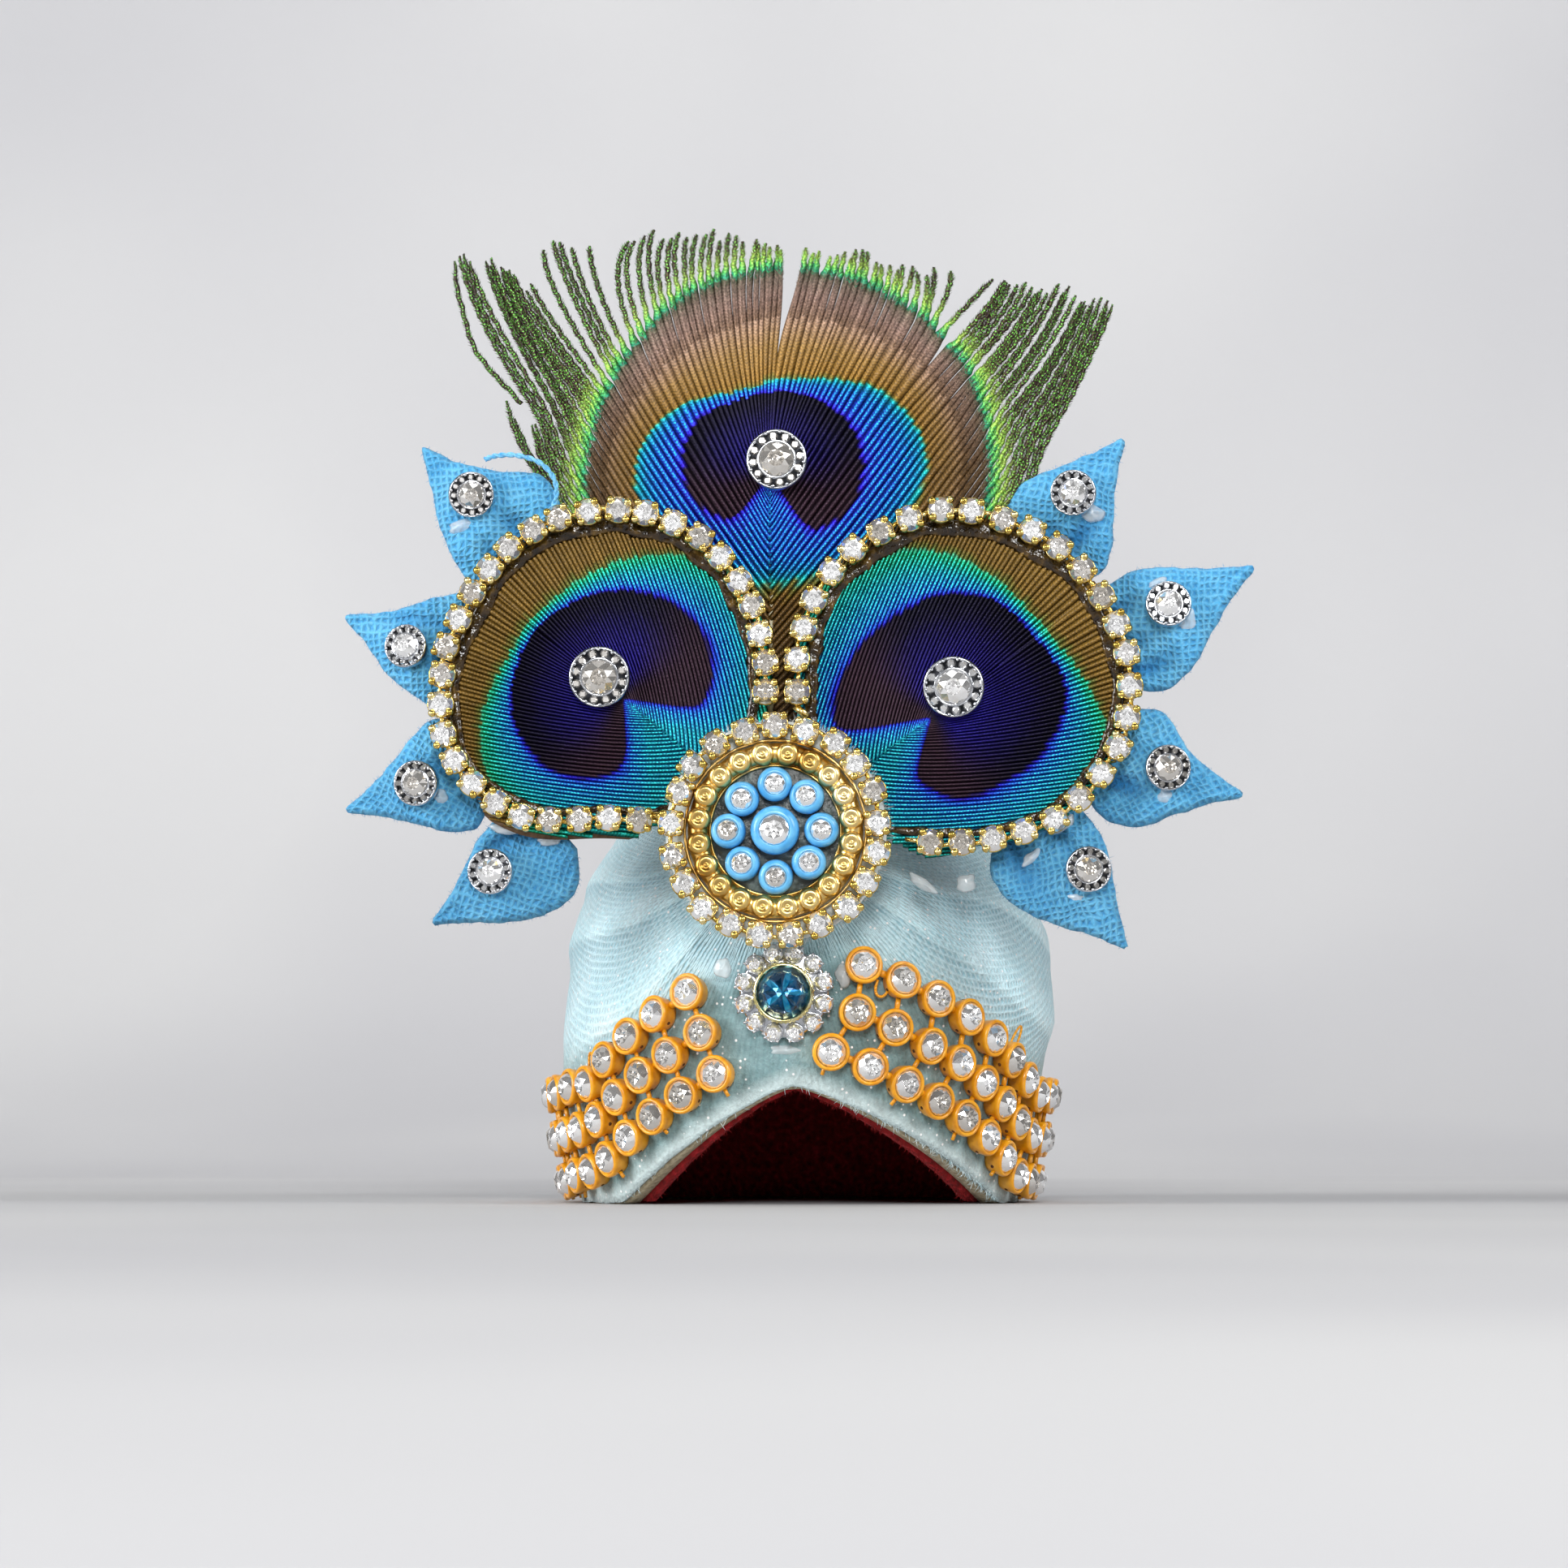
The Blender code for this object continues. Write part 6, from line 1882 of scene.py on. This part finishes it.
# Glue
# Clear hot glue that squeezed out beside the studs and the brooch and set in glossy lumps.
clear_glue = grained(
    "hot_glue_clear", "#F4FAFC", (1.4, 3.0), [(0.3, "#E8F4F8"), (0.7, "#FFFFFF")], bump=(0.0001, 0.5),
    roughness=0.12, Alpha=0.42, Coat_Weight=1.0,
)
GLUE = [
    # x, z, depth of its back, half width, half height, how far it stands out, turn in degrees
    (-29.6, 62.2, 27.5, 1.2, 0.6, 0.75, 15.0), (28.2, 62.9, 27.5, 1.1, 0.9, 0.85, -20.0),
    (36.6, 53.2, 27.5, 1.1, 1.5, 0.75, -25.0), (34.0, 56.4, 27.6, 1.0, 0.5, 0.6, 20.0),
    (34.6, 37.0, 27.5, 0.8, 0.7, 0.7, 0.0), (-31.4, 37.2, 27.4, 0.7, 0.8, 0.6, 10.0),
    (-25.6, 34.3, 27.3, 1.4, 0.5, 0.4, -8.0), (-21.4, 33.3, 27.2, 1.1, 0.5, 0.4, 5.0),
    (25.4, 34.6, 27.2, 1.5, 0.6, 0.5, 35.0), (22.6, 31.6, 27.1, 1.2, 0.5, 0.4, 40.0),
    (26.6, 27.9, 27.3, 1.2, 0.6, 0.5, 0.0), (12.6, 29.3, 26.0, 1.5, 0.5, 0.5, -35.0),
    (16.6, 29.4, 25.2, 0.9, 0.8, 0.4, 20.0), (0.0, 14.2, 26.3, 1.5, 0.5, 0.4, 0.0),
    (-5.6, 21.6, 26.3, 0.8, 1.0, 0.4, 10.0), (5.4, 21.0, 26.2, 0.7, 1.2, 0.4, 0.0),
]
LUMP_RINGS, LUMP_SIDES = 6, 22
lumps = []
for x, z, depth, wide, tall, out, turn in GLUE:
    points = []
    seed = Vector((x, z, 0.0))
    for ring in range(LUMP_RINGS):
        reach = 1.0 - ring / LUMP_RINGS
        for k in range(LUMP_SIDES):
            angle = 2.0 * math.pi * k / LUMP_SIDES
            uneven = 1.0 + 0.35 * noise.noise(Vector((math.cos(angle), math.sin(angle), 0.3)) * 1.3 + seed)
            height = out * (1.0 - reach * reach)
            spot = Vector((reach * math.cos(angle), reach * math.sin(angle), 0.0))
            height *= 1.0 + 0.4 * noise.noise(spot * 2.2 + seed)
            across = wide * reach * uneven * math.cos(angle)
            points.append((across, tall * reach * uneven * math.sin(angle), height))
    points.append((0.0, 0.0, out))
    faces = skin(LUMP_RINGS, LUMP_SIDES, ends=False)
    last = (LUMP_RINGS - 1) * LUMP_SIDES
    for k in range(LUMP_SIDES):
        faces.append((last + k, last + (k + 1) % LUMP_SIDES, len(points) - 1))
    faces.append(tuple(range(LUMP_SIDES - 1, -1, -1)))
    lumps.append(
        moved(solid(points, faces), seat_matrix(Vector((x, -depth, z)), *FRONT, math.radians(turn)))
    )
piece("glue_lumps", together(*lumps), [clear_glue])

# Floor, backdrop and light
# A pale sweep behind and under the crown, a large soft light on each side and one above, as in a small
# studio.
SWEEP = [
    # distance behind the crown's middle and height, in metres
    (-1.2, 0.0), (-0.4, 0.0), (0.0, 0.0), (0.28, 0.0), (0.36, 0.01), (0.43, 0.05), (0.47, 0.12),
    (0.49, 0.3), (0.5, 1.2),
]
sweep_points, sweep_faces = [], []
for y, z in SWEEP:
    sweep_points += [(-1.5, y, z), (1.5, y, z)]
for k in range(len(SWEEP) - 1):
    sweep_faces.append((2 * k, 2 * k + 1, 2 * k + 3, 2 * k + 2))
sweep = bpy.data.objects.new("backdrop", bpy.data.meshes.new("backdrop"))
sweep.data.from_pydata(sweep_points, [], sweep_faces)
sweep.data.polygons.foreach_set("use_smooth", np.ones(len(sweep_faces), bool))
bpy.context.scene.collection.objects.link(sweep)
paper, tree, shader = finish_of("backdrop_cloth_plain", "#DCDCDE", roughness=0.9)
cloud = add(tree, "TexNoise", (in_millimetres(tree), 0.006, 2.0))
tone = add(tree, "ValToRGB", (cloud,), stops=[(0.35, "#D6D6D9"), (0.65, "#E3E3E4")])
# the floor is a shade darker than the cloth behind, because the light falls straight on it
away = add(tree, "SeparateXYZ", (in_millimetres(tree),), out="Y")
away = add(tree, "MapRange", (away, 60.0, 300.0, 0.68, 0.97))
grey = add(tree, "CombineColor", (away, away, away))
shaded = add(tree, "Mix", (1.0, tone, grey), data_type="RGBA", blend_type="MULTIPLY")
feed(shader.inputs["Base Color"], shaded)
sweep.data.materials.append(paper)

CROWN_MIDDLE = (0.0, 0.0, 0.045)
LIGHTS = [
    # name, place, what it points at, size, power; the last one lightens the foot of the sweep
    ("light_left", (-0.52, -0.32, 0.20), CROWN_MIDDLE, 0.30, 3.6),
    ("light_right", (0.50, -0.30, 0.30), CROWN_MIDDLE, 0.25, 2.1),
    ("light_front", (0.05, -0.75, 0.30), CROWN_MIDDLE, 0.20, 3.3),
    ("light_above", (0.0, 0.05, 0.60), CROWN_MIDDLE, 0.35, 0.6),
    ("light_behind", (0.0, 0.15, 0.55), (0.0, 0.40, 0.0), 0.6, 0.35),
]
for name, place, target, size, power in LIGHTS:
    lamp = bpy.data.lights.new(name, "AREA")
    lamp.energy = power
    lamp.size = size
    holder = bpy.data.objects.new(name, lamp)
    bpy.context.scene.collection.objects.link(holder)
    holder.location = place
    holder.rotation_euler = (Vector(target) - Vector(place)).to_track_quat("-Z", "Y").to_euler()
bpy.context.scene.view_settings.view_transform = "Standard"
world = bpy.data.worlds.new("studio")
bpy.context.scene.world = world
world.use_nodes = True
sky_way = add(world.node_tree, "TexCoord", out="Generated")
sky_way = add(world.node_tree, "SeparateXYZ", (sky_way,), out="Z")
overhead = add(world.node_tree, "MapRange", (sky_way, -0.1, 0.9, 0.78, 1.06))
feed(world.node_tree.nodes["Background"].inputs["Strength"], overhead)
